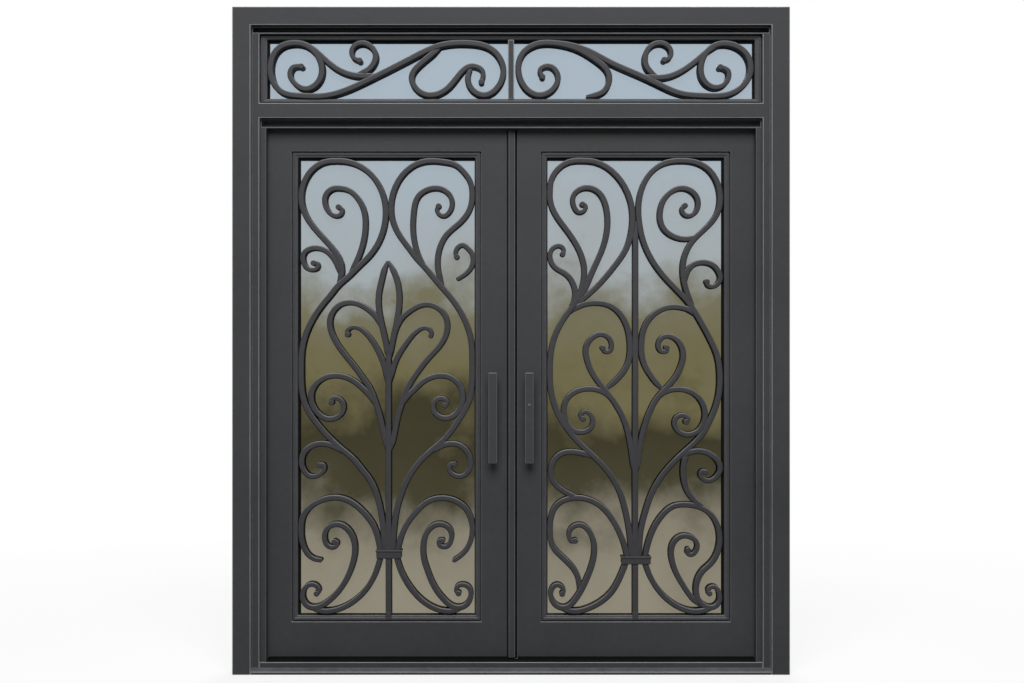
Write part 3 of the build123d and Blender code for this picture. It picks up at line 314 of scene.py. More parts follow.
class Bench:
    """The workshop steps that the pieces share, done with Blender's own operators."""

    rounded_from: float = math.radians(25)
    smooth_below: float = math.radians(50)
    street_facing: float = -0.9
    first_inset: float = 0.0005

    @staticmethod
    def take_up(name: str) -> bpy.types.Object:
        """Names the piece that was just made and returns it.

        Args:
            name: the name of the piece and of its data.

        Returns:
            The piece.
        """
        piece = bpy.context.object
        piece.name = piece.data.name = name
        return piece

    @staticmethod
    def start(add: Callable[..., set[str]], name: str, **how: object) -> bpy.types.Object:
        """Adds a plain shape, with its place and turn worked into its points.

        Args:
            add: the operator that adds it.
            name: the name of the piece.
            how: the operator's own values.

        Returns:
            The shape.
        """
        bpy.ops.object.select_all(action="DESELECT")
        add(**how)
        bpy.ops.object.transform_apply(location=True, rotation=True, scale=True)
        return Bench.take_up(name)

    @staticmethod
    def only(piece: bpy.types.Object) -> None:
        """Makes one piece the only one selected, and the active one.

        Args:
            piece: the piece.
        """
        bpy.ops.object.select_all(action="DESELECT")
        piece.select_set(True)
        bpy.context.view_layer.objects.active = piece

    @staticmethod
    def pick_faces(piece: bpy.types.Object, wanted: Callable[[Vector, Vector], bool]) -> None:
        """Selects faces of the piece in edit mode.

        Args:
            piece: the piece, in edit mode.
            wanted: says from a face's centre and normal whether it is selected.
        """
        bpy.ops.mesh.select_mode(type="FACE")
        bpy.ops.mesh.select_all(action="DESELECT")
        shell = bmesh.from_edit_mesh(piece.data)
        for face in shell.faces:
            if wanted(face.calc_center_median(), face.normal):
                face.select_set(True)
        bmesh.update_edit_mesh(piece.data)

    @staticmethod
    def draw_out(x: float, y: float) -> None:
        """Draws the selected faces out along X and Y."""
        bpy.ops.mesh.extrude_region_move(TRANSFORM_OT_translate={"value": (x, y, 0)})

    @staticmethod
    def face_out() -> None:
        """Turns every face of the piece in edit mode outwards and goes back to object mode."""
        bpy.ops.mesh.select_all(action="SELECT")
        bpy.ops.mesh.normals_make_consistent(inside=False)
        bpy.ops.object.mode_set(mode="OBJECT")

    @staticmethod
    def cut_plate(name: str, columns: list[float], rows: list[float], holes: list[tuple[int, int]],
                  depths: Span) -> bpy.types.Object:
        """Makes a thick plate whose openings are cut cell by cell out of a grid.

        Args:
            name: the name of the piece.
            columns: the X lines of the grid.
            rows: the Z lines of the grid.
            holes: the cells that are cut out, as column and row numbers.
            depths: the street and room faces of the plate.

        Returns:
            The plate with square edges.
        """
        across, up = len(columns) - 1, len(rows) - 1
        piece = Bench.start(bpy.ops.mesh.primitive_grid_add, name, x_subdivisions=across, y_subdivisions=up,
                            size=2)
        for corner in piece.data.vertices:
            column = round((corner.co.x + 1) / 2 * across)
            row = round((corner.co.y + 1) / 2 * up)
            corner.co = (columns[column], depths[0], rows[row])
        bpy.ops.object.mode_set(mode="EDIT")

        def in_hole(centre: Vector, _normal: Vector) -> bool:
            """Says whether a cell lies in one of the openings."""
            return any(columns[c] < centre.x < columns[c + 1] and rows[r] < centre.z < rows[r + 1]
                       for c, r in holes)

        Bench.pick_faces(piece, in_hole)
        bpy.ops.mesh.delete(type="FACE")
        bpy.ops.mesh.select_all(action="SELECT")
        Bench.draw_out(0, depths[1] - depths[0])
        Bench.face_out()
        return piece

    @staticmethod
    def sink(piece: bpy.types.Object, half_width: float, z_ends: Span, depth: float) -> None:
        """Sinks a level band of a plate's street face, which leaves a deep shadow gap.

        Args:
            piece: the plate, whose grid has lines at the band's edges.
            half_width: how far the band reaches to either side.
            z_ends: the lower and upper edge of the band.
            depth: how far the band goes back.
        """
        Bench.only(piece)
        bpy.ops.object.mode_set(mode="EDIT")
        Bench.pick_faces(piece, lambda centre, normal: normal.y < Bench.street_facing
                         and abs(centre.x) < half_width and z_ends[0] < centre.z < z_ends[1])
        Bench.draw_out(0, depth)
        Bench.face_out()

    @staticmethod
    def moulding(name: str, loops: list[Loop], arris: float, flats: int = 2) -> bpy.types.Object:
        """Makes a closed moulding round a rectangle, with true mitres.

        Args:
            name: the name of the piece.
            loops: the lines of its section from its outer edge inwards and back to the start.
            arris: the width of its rounded arrises.
            flats: how many flats the rounding has.

        Returns:
            The moulding.
        """
        piece = Bench.start(bpy.ops.mesh.primitive_plane_add, name, size=2)
        bpy.ops.object.mode_set(mode="EDIT")
        shell = bmesh.from_edit_mesh(piece.data)
        for corner in shell.verts:
            corner.co = loops[0].corner(corner.co.x > 0, corner.co.y > 0)
        for loop, last in zip(loops[1:], loops[:-1]):
            bpy.ops.mesh.inset(thickness=Bench.first_inset)
            shell = bmesh.from_edit_mesh(piece.data)
            middle_x, middle_z = (last.x_low + last.x_high) / 2, (last.z_low + last.z_high) / 2
            for corner in (v for v in shell.verts if v.select):
                corner.co = loop.corner(corner.co.x > middle_x, corner.co.z > middle_z)
            bmesh.update_edit_mesh(piece.data)
        bpy.ops.mesh.delete(type="ONLY_FACE")
        bpy.ops.mesh.select_mode(type="EDGE")
        bpy.ops.mesh.select_all(action="DESELECT")
        bpy.ops.mesh.select_non_manifold()
        bpy.ops.mesh.bridge_edge_loops()
        bpy.ops.mesh.select_mode(type="VERT")
        Bench.face_out()
        return Bench.ease(piece, arris, flats)

    @staticmethod
    def block(name: str, x_ends: Span, y_ends: Span, z_ends: Span, arris: float,
              flats: int = 2) -> bpy.types.Object:
        """Makes a block with rounded arrises.

        Args:
            name: the name of the piece.
            x_ends: its two ends along X, in either order.
            y_ends: its two ends along Y, in either order.
            z_ends: its two ends along Z, in either order.
            arris: the width of its rounded arrises.
            flats: how many flats the rounding has.

        Returns:
            The block.
        """
        ends = [sorted(pair) for pair in (x_ends, y_ends, z_ends)]
        piece = Bench.start(bpy.ops.mesh.primitive_cube_add, name, size=1,
                            location=[(low + high) / 2 for low, high in ends],
                            scale=[high - low for low, high in ends])
        return Bench.ease(piece, arris, flats)

    @staticmethod
    def rod(name: str, middle: Place, radius: float, length: float, sides: int,
            upright: bool) -> bpy.types.Object:
        """Makes a round bar.

        Args:
            name: the name of the piece.
            middle: the middle of the bar.
            radius: its radius.
            length: its length.
            sides: how many sides it has.
            upright: whether it stands along Z. Otherwise it lies along Y.

        Returns:
            The bar with square ends.
        """
        return Bench.start(bpy.ops.mesh.primitive_cylinder_add, name, vertices=sides, radius=radius,
                           depth=length, location=middle, rotation=(0 if upright else math.pi / 2, 0, 0))

    @staticmethod
    def long_section(name: str, section: list[Point], half_length: float, arris: float,
                     flats: int = 3) -> bpy.types.Object:
        """Draws out a section along X.

        Args:
            name: the name of the piece.
            section: the outline of the section, as points in Y and Z.
            half_length: how far the piece reaches to either side.
            arris: the width of its rounded arrises.
            flats: how many flats the rounding has.

        Returns:
            The piece.
        """
        piece = Bench.start(bpy.ops.mesh.primitive_circle_add, name, vertices=len(section), fill_type="NGON")
        for corner, (y, z) in zip(piece.data.vertices, section):
            corner.co = (-half_length, y, z)
        bpy.ops.object.mode_set(mode="EDIT")
        bpy.ops.mesh.select_all(action="SELECT")
        Bench.draw_out(2 * half_length, 0)
        Bench.face_out()
        return Bench.ease(piece, arris, flats)

    @staticmethod
    def blanks() -> list[bpy.types.Material]:
        """Gives the two blank finishes that keep faces and arrises apart until a piece is painted."""
        return [bpy.data.materials.get(name) or bpy.data.materials.new(name)
                for name in ("blank_face", "blank_arris")]

    @staticmethod
    def ease(piece: bpy.types.Object, width: float, flats: int = 2) -> bpy.types.Object:
        """Rounds the arrises of a piece, with the rounding in its second material slot.

        Args:
            piece: the piece with square edges.
            width: how far the rounding reaches onto each face.
            flats: how many flats the rounding has.

        Returns:
            The piece.
        """
        Bench.only(piece)
        for blank in Bench.blanks():
            piece.data.materials.append(blank)
        bpy.ops.object.modifier_add(type="BEVEL")
        rounding = piece.modifiers[-1]
        rounding.width, rounding.segments = width, flats
        rounding.limit_method, rounding.angle_limit = "ANGLE", Bench.rounded_from
        rounding.material = 1
        bpy.ops.object.modifier_apply(modifier=rounding.name)
        bpy.ops.object.shade_smooth_by_angle(angle=Bench.smooth_below)
        bpy.ops.object.modifier_add(type="WEIGHTED_NORMAL")
        piece.modifiers[-1].keep_sharp = True
        bpy.ops.object.modifier_apply(modifier=piece.modifiers[-1].name)
        return piece

    @staticmethod
    def join(pieces: list[bpy.types.Object], name: str) -> bpy.types.Object:
        """Joins pieces into one.

        Args:
            pieces: the pieces, of which the first takes up the others.
            name: the name of the whole.

        Returns:
            The whole.
        """
        Bench.only(pieces[0])
        for piece in pieces:
            piece.select_set(True)
        bpy.ops.object.join()
        return Bench.take_up(name)

    @staticmethod
    def copy_of(piece: bpy.types.Object) -> bpy.types.Object:
        """Copies a piece.

        Args:
            piece: the piece.

        Returns:
            The copy, with its own mesh.
        """
        twin = piece.copy()
        twin.data = piece.data.copy()
        bpy.context.collection.objects.link(twin)
        return twin

    @staticmethod
    def hand_over(piece: bpy.types.Object, body: str, slot: str, nodes: list[str],
                  finishes: list[bpy.types.Material]) -> None:
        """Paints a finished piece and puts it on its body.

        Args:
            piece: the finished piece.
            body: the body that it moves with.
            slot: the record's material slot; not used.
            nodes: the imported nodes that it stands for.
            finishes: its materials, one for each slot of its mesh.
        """
        while len(piece.data.materials) < len(finishes):
            piece.data.materials.append(None)
        for number, finish in enumerate(finishes):
            piece.data.materials[number] = finish
        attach(piece, body)
        if nodes:
            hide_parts(*nodes)
        log.info("%s: %d faces on %s", piece.name, len(piece.data.polygons), body)


class Desk:
    """A node tree, with small helpers for laying out its nodes."""

    whole: Span = (0.0, 1.0)

    def __init__(self, tree: bpy.types.NodeTree) -> None:
        """Takes the tree that the nodes go into."""
        self.tree = tree

    @classmethod
    def for_material(cls, name: str) -> tuple["Desk", bpy.types.Material, bpy.types.Node]:
        """Starts a material.

        Args:
            name: the name of the material.

        Returns:
            A desk on its tree, the material and its main shader.
        """
        material = bpy.data.materials.new(name)
        material.use_nodes = True
        return cls(material.node_tree), material, material.node_tree.nodes["Principled BSDF"]

    def node(self, kind: str, **values: object) -> bpy.types.Node:
        """Adds a node.

        Args:
            kind: the node's type.
            values: properties by name, and input values by name.

        Returns:
            The node.
        """
        node = self.tree.nodes.new(kind)
        for name, value in values.items():
            if hasattr(node, name):
                setattr(node, name, value)
            else:
                node.inputs[name].default_value = value
        return node

    def noise(self, **values: object) -> bpy.types.Node:
        """Adds a noise on the piece's own coordinates.

        Args:
            values: the noise's input values by name.

        Returns:
            The node.
        """
        texture = self.node("ShaderNodeTexNoise", **values)
        self.link(self.node("ShaderNodeTexCoord").outputs["Object"], texture.inputs["Vector"])
        return texture

    def group(self, tree: bpy.types.NodeTree, **values: float) -> bpy.types.Node:
        """Adds a node group with some of its inputs set by name, and returns it."""
        return self.node("ShaderNodeGroup", node_tree=tree, **values)

    def link(self, source: bpy.types.NodeSocket, target: bpy.types.NodeSocket) -> None:
        """Joins two sockets."""
        self.tree.links.new(source, target)

    def combine(self, operation: str, first: bpy.types.NodeSocket,
                second: bpy.types.NodeSocket) -> bpy.types.NodeSocket:
        """Works out one value from two.

        Args:
            operation: the sum that is done.
            first: the first value.
            second: the second value.

        Returns:
            The result's socket.
        """
        node = self.node("ShaderNodeMath", operation=operation)
        self.link(first, node.inputs[0])
        self.link(second, node.inputs[1])
        return node.outputs["Value"]

    def mix(self, mask: bpy.types.NodeSocket, low: Colour | bpy.types.NodeSocket,
            high: Colour | bpy.types.NodeSocket) -> bpy.types.NodeSocket:
        """Mixes two colours by a mask.

        Args:
            mask: the share of the second colour.
            low: the colour where the mask is 0.
            high: the colour where the mask is 1.

        Returns:
            The result's socket.
        """
        node = self.node("ShaderNodeMix", data_type="RGBA")
        self.link(mask, node.inputs["Factor"])
        for label, value in (("A", low), ("B", high)):
            socket = [s for s in node.inputs if s.name == label and s.type == "RGBA"][0]
            if isinstance(value, bpy.types.NodeSocket):
                self.link(value, socket)
            else:
                socket.default_value = value
        return [s for s in node.outputs if s.type == "RGBA"][0]

    def span(self, value: bpy.types.NodeSocket, source: Span, target: Span) -> bpy.types.NodeSocket:
        """Maps a value from one span to another, held at the ends.

        Args:
            value: the value.
            source: the span that it comes from.
            target: the span that it goes to.

        Returns:
            The result's socket.
        """
        node = self.node("ShaderNodeMapRange", clamp=True)
        self.link(value, node.inputs["Value"])
        for label, number in zip(("From Min", "From Max", "To Min", "To Max"), (*source, *target)):
            node.inputs[label].default_value = number
        return node.outputs["Result"]


class SurfaceGroups:
    """Shader node groups for the effects that more than one finish uses."""

    busy: Span = (0.3, 0.7)
    peaks: Span = (0.5, 0.75)
    broad_share: float = 0.65
    looking_up: Span = (0.25, 0.95)
    patchiness: Span = (0.45, 1.0)

    def __init__(self) -> None:
        """Builds each group once."""
        self.grain = self.build_grain()
        self.mottle = self.build_mottle()
        self.dust_and_highlight = self.build_dust_and_highlight()

    @staticmethod
    def new_group(name: str, inputs: list[tuple[str, float]],
                  outputs: list[str]) -> tuple[Desk, bpy.types.Node, bpy.types.Node]:
        """Starts a group.

        Args:
            name: the group's name.
            inputs: its number inputs with their usual values.
            outputs: its value outputs.

        Returns:
            A desk on the group's tree, its input node and its output node.
        """
        tree = bpy.data.node_groups.new(name, "ShaderNodeTree")
        for label, usual in inputs:
            socket = tree.interface.new_socket(label, in_out="INPUT", socket_type="NodeSocketFloat")
            socket.default_value = usual
        for label in outputs:
            tree.interface.new_socket(label, in_out="OUTPUT", socket_type="NodeSocketFloat")
        desk = Desk(tree)
        return desk, desk.node("NodeGroupInput"), desk.node("NodeGroupOutput")

    def build_grain(self) -> bpy.types.NodeTree:
        """Builds the sandy grain of sprayed paint.

        Returns:
            The group, which gives a height and a mask of the grain's peaks.
        """
        desk, given, out = self.new_group("sandy_grain", [("Scale", 900.0), ("Ripple", 60.0)],
                                          ["Height", "Peaks"])
        sand, ripple = desk.noise(Detail=3.0, Roughness=0.6), desk.noise(Detail=1.0)
        desk.link(given.outputs["Scale"], sand.inputs["Scale"])
        desk.link(given.outputs["Ripple"], ripple.inputs["Scale"])
        desk.link(desk.combine("ADD", sand.outputs["Fac"], ripple.outputs["Fac"]), out.inputs["Height"])
        desk.link(desk.span(sand.outputs["Fac"], self.peaks, desk.whole), out.inputs["Peaks"])
        return desk.tree

    def build_mottle(self) -> bpy.types.NodeTree:
        """Builds the slow change of tone over a sprayed coat.

        Returns:
            The group, which gives a mask with broad and small patches.
        """
        desk, given, out = self.new_group("paint_mottle", [("Broad", 2.2), ("Small", 38.0)], ["Mask"])
        tones = []
        for label, weight in (("Broad", self.broad_share), ("Small", 1 - self.broad_share)):
            texture = desk.noise(Detail=4.0)
            desk.link(given.outputs[label], texture.inputs["Scale"])
            tones.append(desk.span(texture.outputs["Fac"], self.busy, (0.0, weight)))
        desk.link(desk.combine("ADD", *tones), out.inputs["Mask"])
        return desk.tree

    def build_dust_and_highlight(self) -> bpy.types.NodeTree:
        """Builds the dust on faces that look up, which is also a painted highlight that makes them paler as
        if lit from above.

        Returns:
            The group, which gives a patchy mask.
        """
        desk, given, out = self.new_group("dust_and_top_highlight", [("Patch Scale", 22.0)], ["Mask"])
        patch = desk.noise(Detail=5.0)
        desk.link(given.outputs["Patch Scale"], patch.inputs["Scale"])
        parts = desk.node("ShaderNodeSeparateXYZ")
        desk.link(desk.node("ShaderNodeNewGeometry").outputs["Normal"], parts.inputs["Vector"])
        up = desk.span(parts.outputs["Z"], self.looking_up, desk.whole)
        patchy = desk.span(patch.outputs["Fac"], self.busy, self.patchiness)
        desk.link(desk.combine("MULTIPLY", up, patchy), out.inputs["Mask"])
        return desk.tree


@dataclass(frozen=True)
class PaintFinish:
    """Satin charcoal paint on iron, with a sandy grain, a slow mottle, and paler tops that are settled dust
    and a painted highlight.
    """

    name: str
    deep: Colour
    pale: Colour
    dust_and_highlight: Colour
    roughness: float
    sheen_level: float
    grain_depth: float
    grain_scale: float = 1100.0
    ripple_scale: float = 90.0
    dust_and_highlight_share: float = 0.55
    speckle_share: float = 0.18
    roughness_swing: Span = (-0.05, 0.07)
    bump_strength: float = 0.45

    def build(self, groups: SurfaceGroups) -> bpy.types.Material:
        """Builds the paint.

        Args:
            groups: the shared surface effects.

        Returns:
            The material.
        """
        desk, material, shader = Desk.for_material(self.name)
        shader.inputs["Specular IOR Level"].default_value = self.sheen_level
        mottle, dust_and_highlight = desk.group(groups.mottle), desk.group(groups.dust_and_highlight)
        grain = desk.group(groups.grain, Scale=self.grain_scale, Ripple=self.ripple_scale)
        coat = desk.mix(mottle.outputs["Mask"], self.deep, self.pale)
        # Faces that look up turn paler: settled dust and a painted highlight.
        for mask, share in ((dust_and_highlight.outputs["Mask"], self.dust_and_highlight_share),
                            (grain.outputs["Peaks"], self.speckle_share)):
            coat = desk.mix(desk.span(mask, desk.whole, (0.0, share)), coat, self.dust_and_highlight)
        desk.link(coat, shader.inputs["Base Color"])
        low, high = self.roughness_swing
        gloss = desk.span(mottle.outputs["Mask"], desk.whole, (self.roughness + low, self.roughness + high))
        desk.link(gloss, shader.inputs["Roughness"])
        bump = desk.node("ShaderNodeBump", Strength=self.bump_strength, Distance=self.grain_depth)
        desk.link(grain.outputs["Height"], bump.inputs["Height"])
        desk.link(bump.outputs["Normal"], shader.inputs["Normal"])
        return material


@dataclass(frozen=True)
class PaneFinish:
    """Glass with a mirror coat whose colour is a painted reflection of sky, trees and ground, changing from
    head to foot.
    """

    name: str
    reflection_tints: tuple[tuple[float, Colour], ...]
    levels: Span
    metallic: float
    transmission: float
    roughness: float
    refraction: float = 1.45
    drift_swing: Span = (-0.08, 0.08)
    smears: Span = (0.35, 0.75)
    smear_roughness: float = 0.04

    def build(self) -> bpy.types.Material:
        """Builds the glass.

        Returns:
            The material.
        """
        desk, material, shader = Desk.for_material(self.name)
        shader.inputs["Metallic"].default_value = self.metallic
        shader.inputs["Transmission Weight"].default_value = self.transmission
        shader.inputs["IOR"].default_value = self.refraction
        # The base colour runs with height, a painted reflection: tan at the foot, dark olive below the
        # middle, blue-grey at the head.
        parts = desk.node("ShaderNodeSeparateXYZ")
        desk.link(desk.node("ShaderNodeTexCoord").outputs["Object"], parts.inputs["Vector"])
        level = desk.span(parts.outputs["Z"], self.levels, desk.whole)
        drift = desk.noise(Scale=2.6, Detail=6.0, Roughness=0.58)
        drifted = desk.span(drift.outputs["Fac"], SurfaceGroups.busy, self.drift_swing)
        ramp = desk.node("ShaderNodeValToRGB")
        while len(ramp.color_ramp.elements) < len(self.reflection_tints):
            ramp.color_ramp.elements.new(0.5)
        for stop, (share, tint) in zip(ramp.color_ramp.elements, self.reflection_tints):
            stop.position, stop.color = share, tint
        desk.link(desk.combine("ADD", level, drifted), ramp.inputs["Fac"])
        desk.link(ramp.outputs["Color"], shader.inputs["Base Color"])
        smear = desk.noise(Scale=7.0, Detail=4.0)
        gloss = (self.roughness, self.roughness + self.smear_roughness)
        desk.link(desk.span(smear.outputs["Fac"], self.smears, gloss), shader.inputs["Roughness"])
        return material


@dataclass(frozen=True)
class PlainFinish:
    """A small fitting's finish: one colour with a fine mottle and grain."""

    name: str
    deep: Colour
    pale: Colour
    metallic: float
    roughness: float
    sheen_level: float
    grain_scale: float
    grain_depth: float
    mottle_share: float = 0.25
    grain_roughness: float = 0.12
    bump_strength: float = 0.4

    def build(self, groups: SurfaceGroups) -> bpy.types.Material:
        """Builds the finish.

        Args:
            groups: the shared surface effects.

        Returns:
            The material.
        """
        desk, material, shader = Desk.for_material(self.name)
        shader.inputs["Metallic"].default_value = self.metallic
        shader.inputs["Specular IOR Level"].default_value = self.sheen_level
        mottle = desk.group(groups.mottle, Small=self.grain_scale * self.mottle_share)
        grain = desk.group(groups.grain, Scale=self.grain_scale)
        desk.link(desk.mix(mottle.outputs["Mask"], self.deep, self.pale), shader.inputs["Base Color"])
        gloss = (self.roughness, self.roughness + self.grain_roughness)
        desk.link(desk.span(grain.outputs["Peaks"], desk.whole, gloss), shader.inputs["Roughness"])
        bump = desk.node("ShaderNodeBump", Strength=self.bump_strength, Distance=self.grain_depth)
        desk.link(grain.outputs["Height"], bump.inputs["Height"])
        desk.link(bump.outputs["Normal"], shader.inputs["Normal"])
        return material


class Palette:
    """Every finish on the door, built once, as the lists that the pieces take them in."""

    def __init__(self) -> None:
        """Builds the finishes from the shared surface effects."""
        groups = SurfaceGroups()
        paint = PaintFinish(
            "charcoal_paint", deep=(0.028, 0.029, 0.030, 1), pale=(0.041, 0.042, 0.045, 1),
            dust_and_highlight=(0.150, 0.156, 0.168, 1), roughness=0.55, sheen_level=0.14, grain_depth=0.0004).build(groups)
        # The arris finishes are far paler than the paint: a painted highlight along the rounded edges, with
        # some worn paint there too.
        arris = PaintFinish(
            "charcoal_paint_edge_highlight", deep=(0.16, 0.16, 0.165, 1), pale=(0.24, 0.24, 0.245, 1),
            dust_and_highlight=(0.26, 0.26, 0.265, 1), roughness=0.42, sheen_level=0.30, grain_depth=0.0002).build(groups)
        soft_edge_highlight = PaintFinish(
            "charcoal_paint_soft_edge_highlight", deep=(0.060, 0.060, 0.063, 1), pale=(0.090, 0.091, 0.095, 1),
            dust_and_highlight=(0.36, 0.365, 0.37, 1), roughness=0.45, sheen_level=0.22, grain_depth=0.0002).build(groups)
        forged = PaintFinish(
            "forged_bar_paint", deep=(0.028, 0.028, 0.030, 1), pale=(0.042, 0.042, 0.046, 1),
            dust_and_highlight=(0.11, 0.11, 0.115, 1), roughness=0.50, sheen_level=0.16, grain_depth=0.0006,
            grain_scale=800.0, ripple_scale=70.0).build(groups)
        # The flank finish is near black: painted shade on the sides and undersides of the scroll bars.
        shaded_flank = PaintFinish(
            "forged_bar_painted_shade", deep=(0.008, 0.008, 0.009, 1), pale=(0.016, 0.016, 0.017, 1),
            dust_and_highlight=(0.05, 0.05, 0.052, 1), roughness=0.60, sheen_level=0.10, grain_depth=0.0006,
            grain_scale=800.0, ripple_scale=70.0).build(groups)
        # The pane's tints run from foot to head, a painted reflection of ground, trees and sky.
        coat = PaneFinish(
            "pane_painted_reflection",
            reflection_tints=((0.0, (0.29, 0.265, 0.200, 1)), (0.13, (0.24, 0.22, 0.165, 1)),
                   (0.25, (0.060, 0.054, 0.030, 1)), (0.36, (0.048, 0.043, 0.022, 1)),
                   (0.46, (0.16, 0.143, 0.070, 1)), (0.58, (0.18, 0.168, 0.105, 1)),
                   (0.68, (0.37, 0.41, 0.425, 1)), (1.0, (0.40, 0.48, 0.55, 1))),
            levels=(0.2, 2.2), metallic=0.90, transmission=0.25, roughness=0.02).build()
        rubber = PlainFinish(
            "black_rubber", deep=(0.004, 0.004, 0.0045, 1), pale=(0.007, 0.007, 0.0075, 1), metallic=0.0,
            roughness=0.7, sheen_level=0.04, grain_scale=1500.0, grain_depth=0.0002).build(groups)
        steel = PlainFinish(
            "dulled_steel", deep=(0.07, 0.07, 0.07, 1), pale=(0.11, 0.11, 0.108, 1), metallic=1.0,
            roughness=0.42, sheen_level=0.5, grain_scale=2600.0, grain_depth=0.00004).build(groups)
        # The second finish in each list goes on rounded edges and is a painted highlight; the scroll bars
        # also take painted shade.
        self.iron = [paint, arris]
        self.leaf_iron = [paint, soft_edge_highlight]
        self.liner_iron = [paint, arris, soft_edge_highlight]
        self.scrolls = [forged, shaded_flank, soft_edge_highlight]
        self.wrought = [forged, forged]
        self.glass = [coat, coat]
        self.rubber = [rubber, rubber]
        self.steel = [steel, steel]


@dataclass
class ScrollGrille:
    """A flat grille of forged scroll bars in one glazed opening."""

    name: str
    node: str
    body: str
    bars: list[Bar]
    x_ends: Span
    z_ends: Span
    y_ends: Span
    bar_width: float = 0.023
    tip_width: float = 0.0175
    taper_length: float = 0.190
    knob_radius: float = 0.0112
    knob_depth: float = 0.0135
    knob_rim: float = 0.0032
    knob_sides: int = 28
    fairing_length: float = 0.040
    fairing_share: float = 0.5
    stock_step_share: float = 0.009
    stock_sizes: int = 7
    section_power: float = 4.5
    section_sides: int = 24
    steps: int = 8
    merge_distance: float = 0.00001
    highlight_flatness: Span = (0.4, 0.975)
    highlight_slope: float = 0.2
    shade_flatness: float = 0.45
    shade_under_slope: float = -0.15

    def place(self, share: Point) -> np.ndarray:
        """Gives a share point's place across and up the door."""
        return np.array([low + part * (high - low)
                         for part, (low, high) in zip(share, (self.x_ends, self.z_ends))])

    @staticmethod
    def slopes(points: np.ndarray, runs: np.ndarray) -> np.ndarray:
        """Gives the tangents of the smooth route through a bar's points.

        Args:
            points: the points, one to a row.
            runs: the straight distance from each point to the next.

        Returns:
            The change of place along the route at each point.
        """
        count = len(points)
        table, wanted = np.zeros((count, count)), np.zeros((count, 2))
        rises = np.diff(points, axis=0) / runs[:, None]
        table[0, :2], table[-1, -2:] = (2, 1), (1, 2)
        wanted[0], wanted[-1] = 3 * rises[0], 3 * rises[-1]
        for i in range(1, count - 1):
            table[i, i - 1:i + 2] = runs[i], 2 * (runs[i - 1] + runs[i]), runs[i - 1]
            wanted[i] = 3 * (runs[i] * rises[i - 1] + runs[i - 1] * rises[i])
        return np.linalg.solve(table, wanted)

    def add_route(self, curve: bpy.types.Curve, bar: Bar, stock: float) -> None:
        """Adds one bar's route to the curve, thinned towards its free ends.

        Args:
            curve: the curve that holds the grille's routes.
            bar: the bar's share points and ends.
            stock: the bar's size as a share of the full section.
        """
        shares, first_end, last_end = bar
        points = np.array([self.place(share) for share in shares])
        runs = np.linalg.norm(np.diff(points, axis=0), axis=1)
        tangents = self.slopes(points, runs)
        track = [points[0]]
        for i, run in enumerate(runs):
            for t in np.linspace(0, 1, self.steps + 1)[1:]:
                start = points[i] * (1 - t) ** 2 * (1 + 2 * t) + tangents[i] * run * t * (1 - t) ** 2
                end = points[i + 1] * t ** 2 * (3 - 2 * t) - tangents[i + 1] * run * t ** 2 * (1 - t)
                track.append(start + end)
        along = np.concatenate([[0], np.cumsum(np.linalg.norm(np.diff(track, axis=0), axis=1))])
        route = curve.splines.new("POLY")
        route.points.add(len(track) - 1)
        for place, distance, knot in zip(track, along, route.points):
            knot.co = (*place, 0, 1)
            knot.radius = stock * min(self.fullness(first_end, shares[0], distance),
                                      self.fullness(last_end, shares[-1], along[-1] - distance))

    def fullness(self, end: End, share: Point, distance: float) -> float:
        """Gives the width of a bar near one of its ends, as a share of its full width.

        Args:
            end: how the bar finishes there.
            share: the end's point.
            distance: how far along the bar the place is from that end.

        Returns:
            1 where the bar is full, less where it thins to a free end or fairs into another bar.
        """
        if end is not WELD:
            return 1 - max(0, 1 - distance / self.taper_length) * (1 - self.tip_width / self.bar_width)
        if share[1] == 0:
            return 1
        return 1 - max(0, 1 - distance / self.fairing_length) * (1 - self.fairing_share)

    def section(self) -> bpy.types.Object:
        """Draws the bar's section, a flat bar with well rounded edges.

        Returns:
            The section, as a closed curve.
        """
        profile = Bench.start(bpy.ops.curve.primitive_bezier_circle_add, "bar_section")
        profile.data.splines.clear()
        outline = profile.data.splines.new("POLY")
        outline.points.add(self.section_sides - 1)
        outline.use_cyclic_u = True
        halves = (self.bar_width / 2, (self.y_ends[1] - self.y_ends[0]) / 2)
        for step, corner in enumerate(outline.points):
            turn = 2 * math.pi * (step + 0.5) / self.section_sides
            across, out = (math.copysign(abs(part) ** (2 / self.section_power), part) * half
                           for part, half in zip((math.cos(turn), math.sin(turn)), halves))
            corner.co = (across, out, 0, 1)
        return profile

    def forge(self) -> bpy.types.Object:
        """Draws the section along every route. Sizes vary, so that crossing faces never lie in one plane.

        Returns:
            The bars, as one mesh with closed ends.
        """
        profile = self.section()
        curve = Bench.start(bpy.ops.curve.primitive_bezier_curve_add, self.name).data
        curve.splines.clear()
        curve.dimensions, curve.fill_mode = "2D", "NONE"
        for number, bar in enumerate(self.bars):
            self.add_route(curve, bar, 1 - self.stock_step_share * (number % self.stock_sizes))
        curve.bevel_mode, curve.bevel_object, curve.use_fill_caps = "OBJECT", profile, True
        bpy.ops.object.convert(target="MESH")
        bars = Bench.take_up(self.name)
        bpy.data.objects.remove(profile)
        stand = Matrix.Rotation(math.pi / 2, 4, "X")
        bars.data.transform(Matrix.Translation((0, sum(self.y_ends) / 2, 0)) @ stand)
        bpy.ops.object.mode_set(mode="EDIT")
        bpy.ops.mesh.select_all(action="SELECT")
        bpy.ops.mesh.remove_doubles(threshold=self.merge_distance)
        Bench.face_out()
        bpy.ops.object.shade_smooth_by_angle(angle=Bench.smooth_below)
        return bars

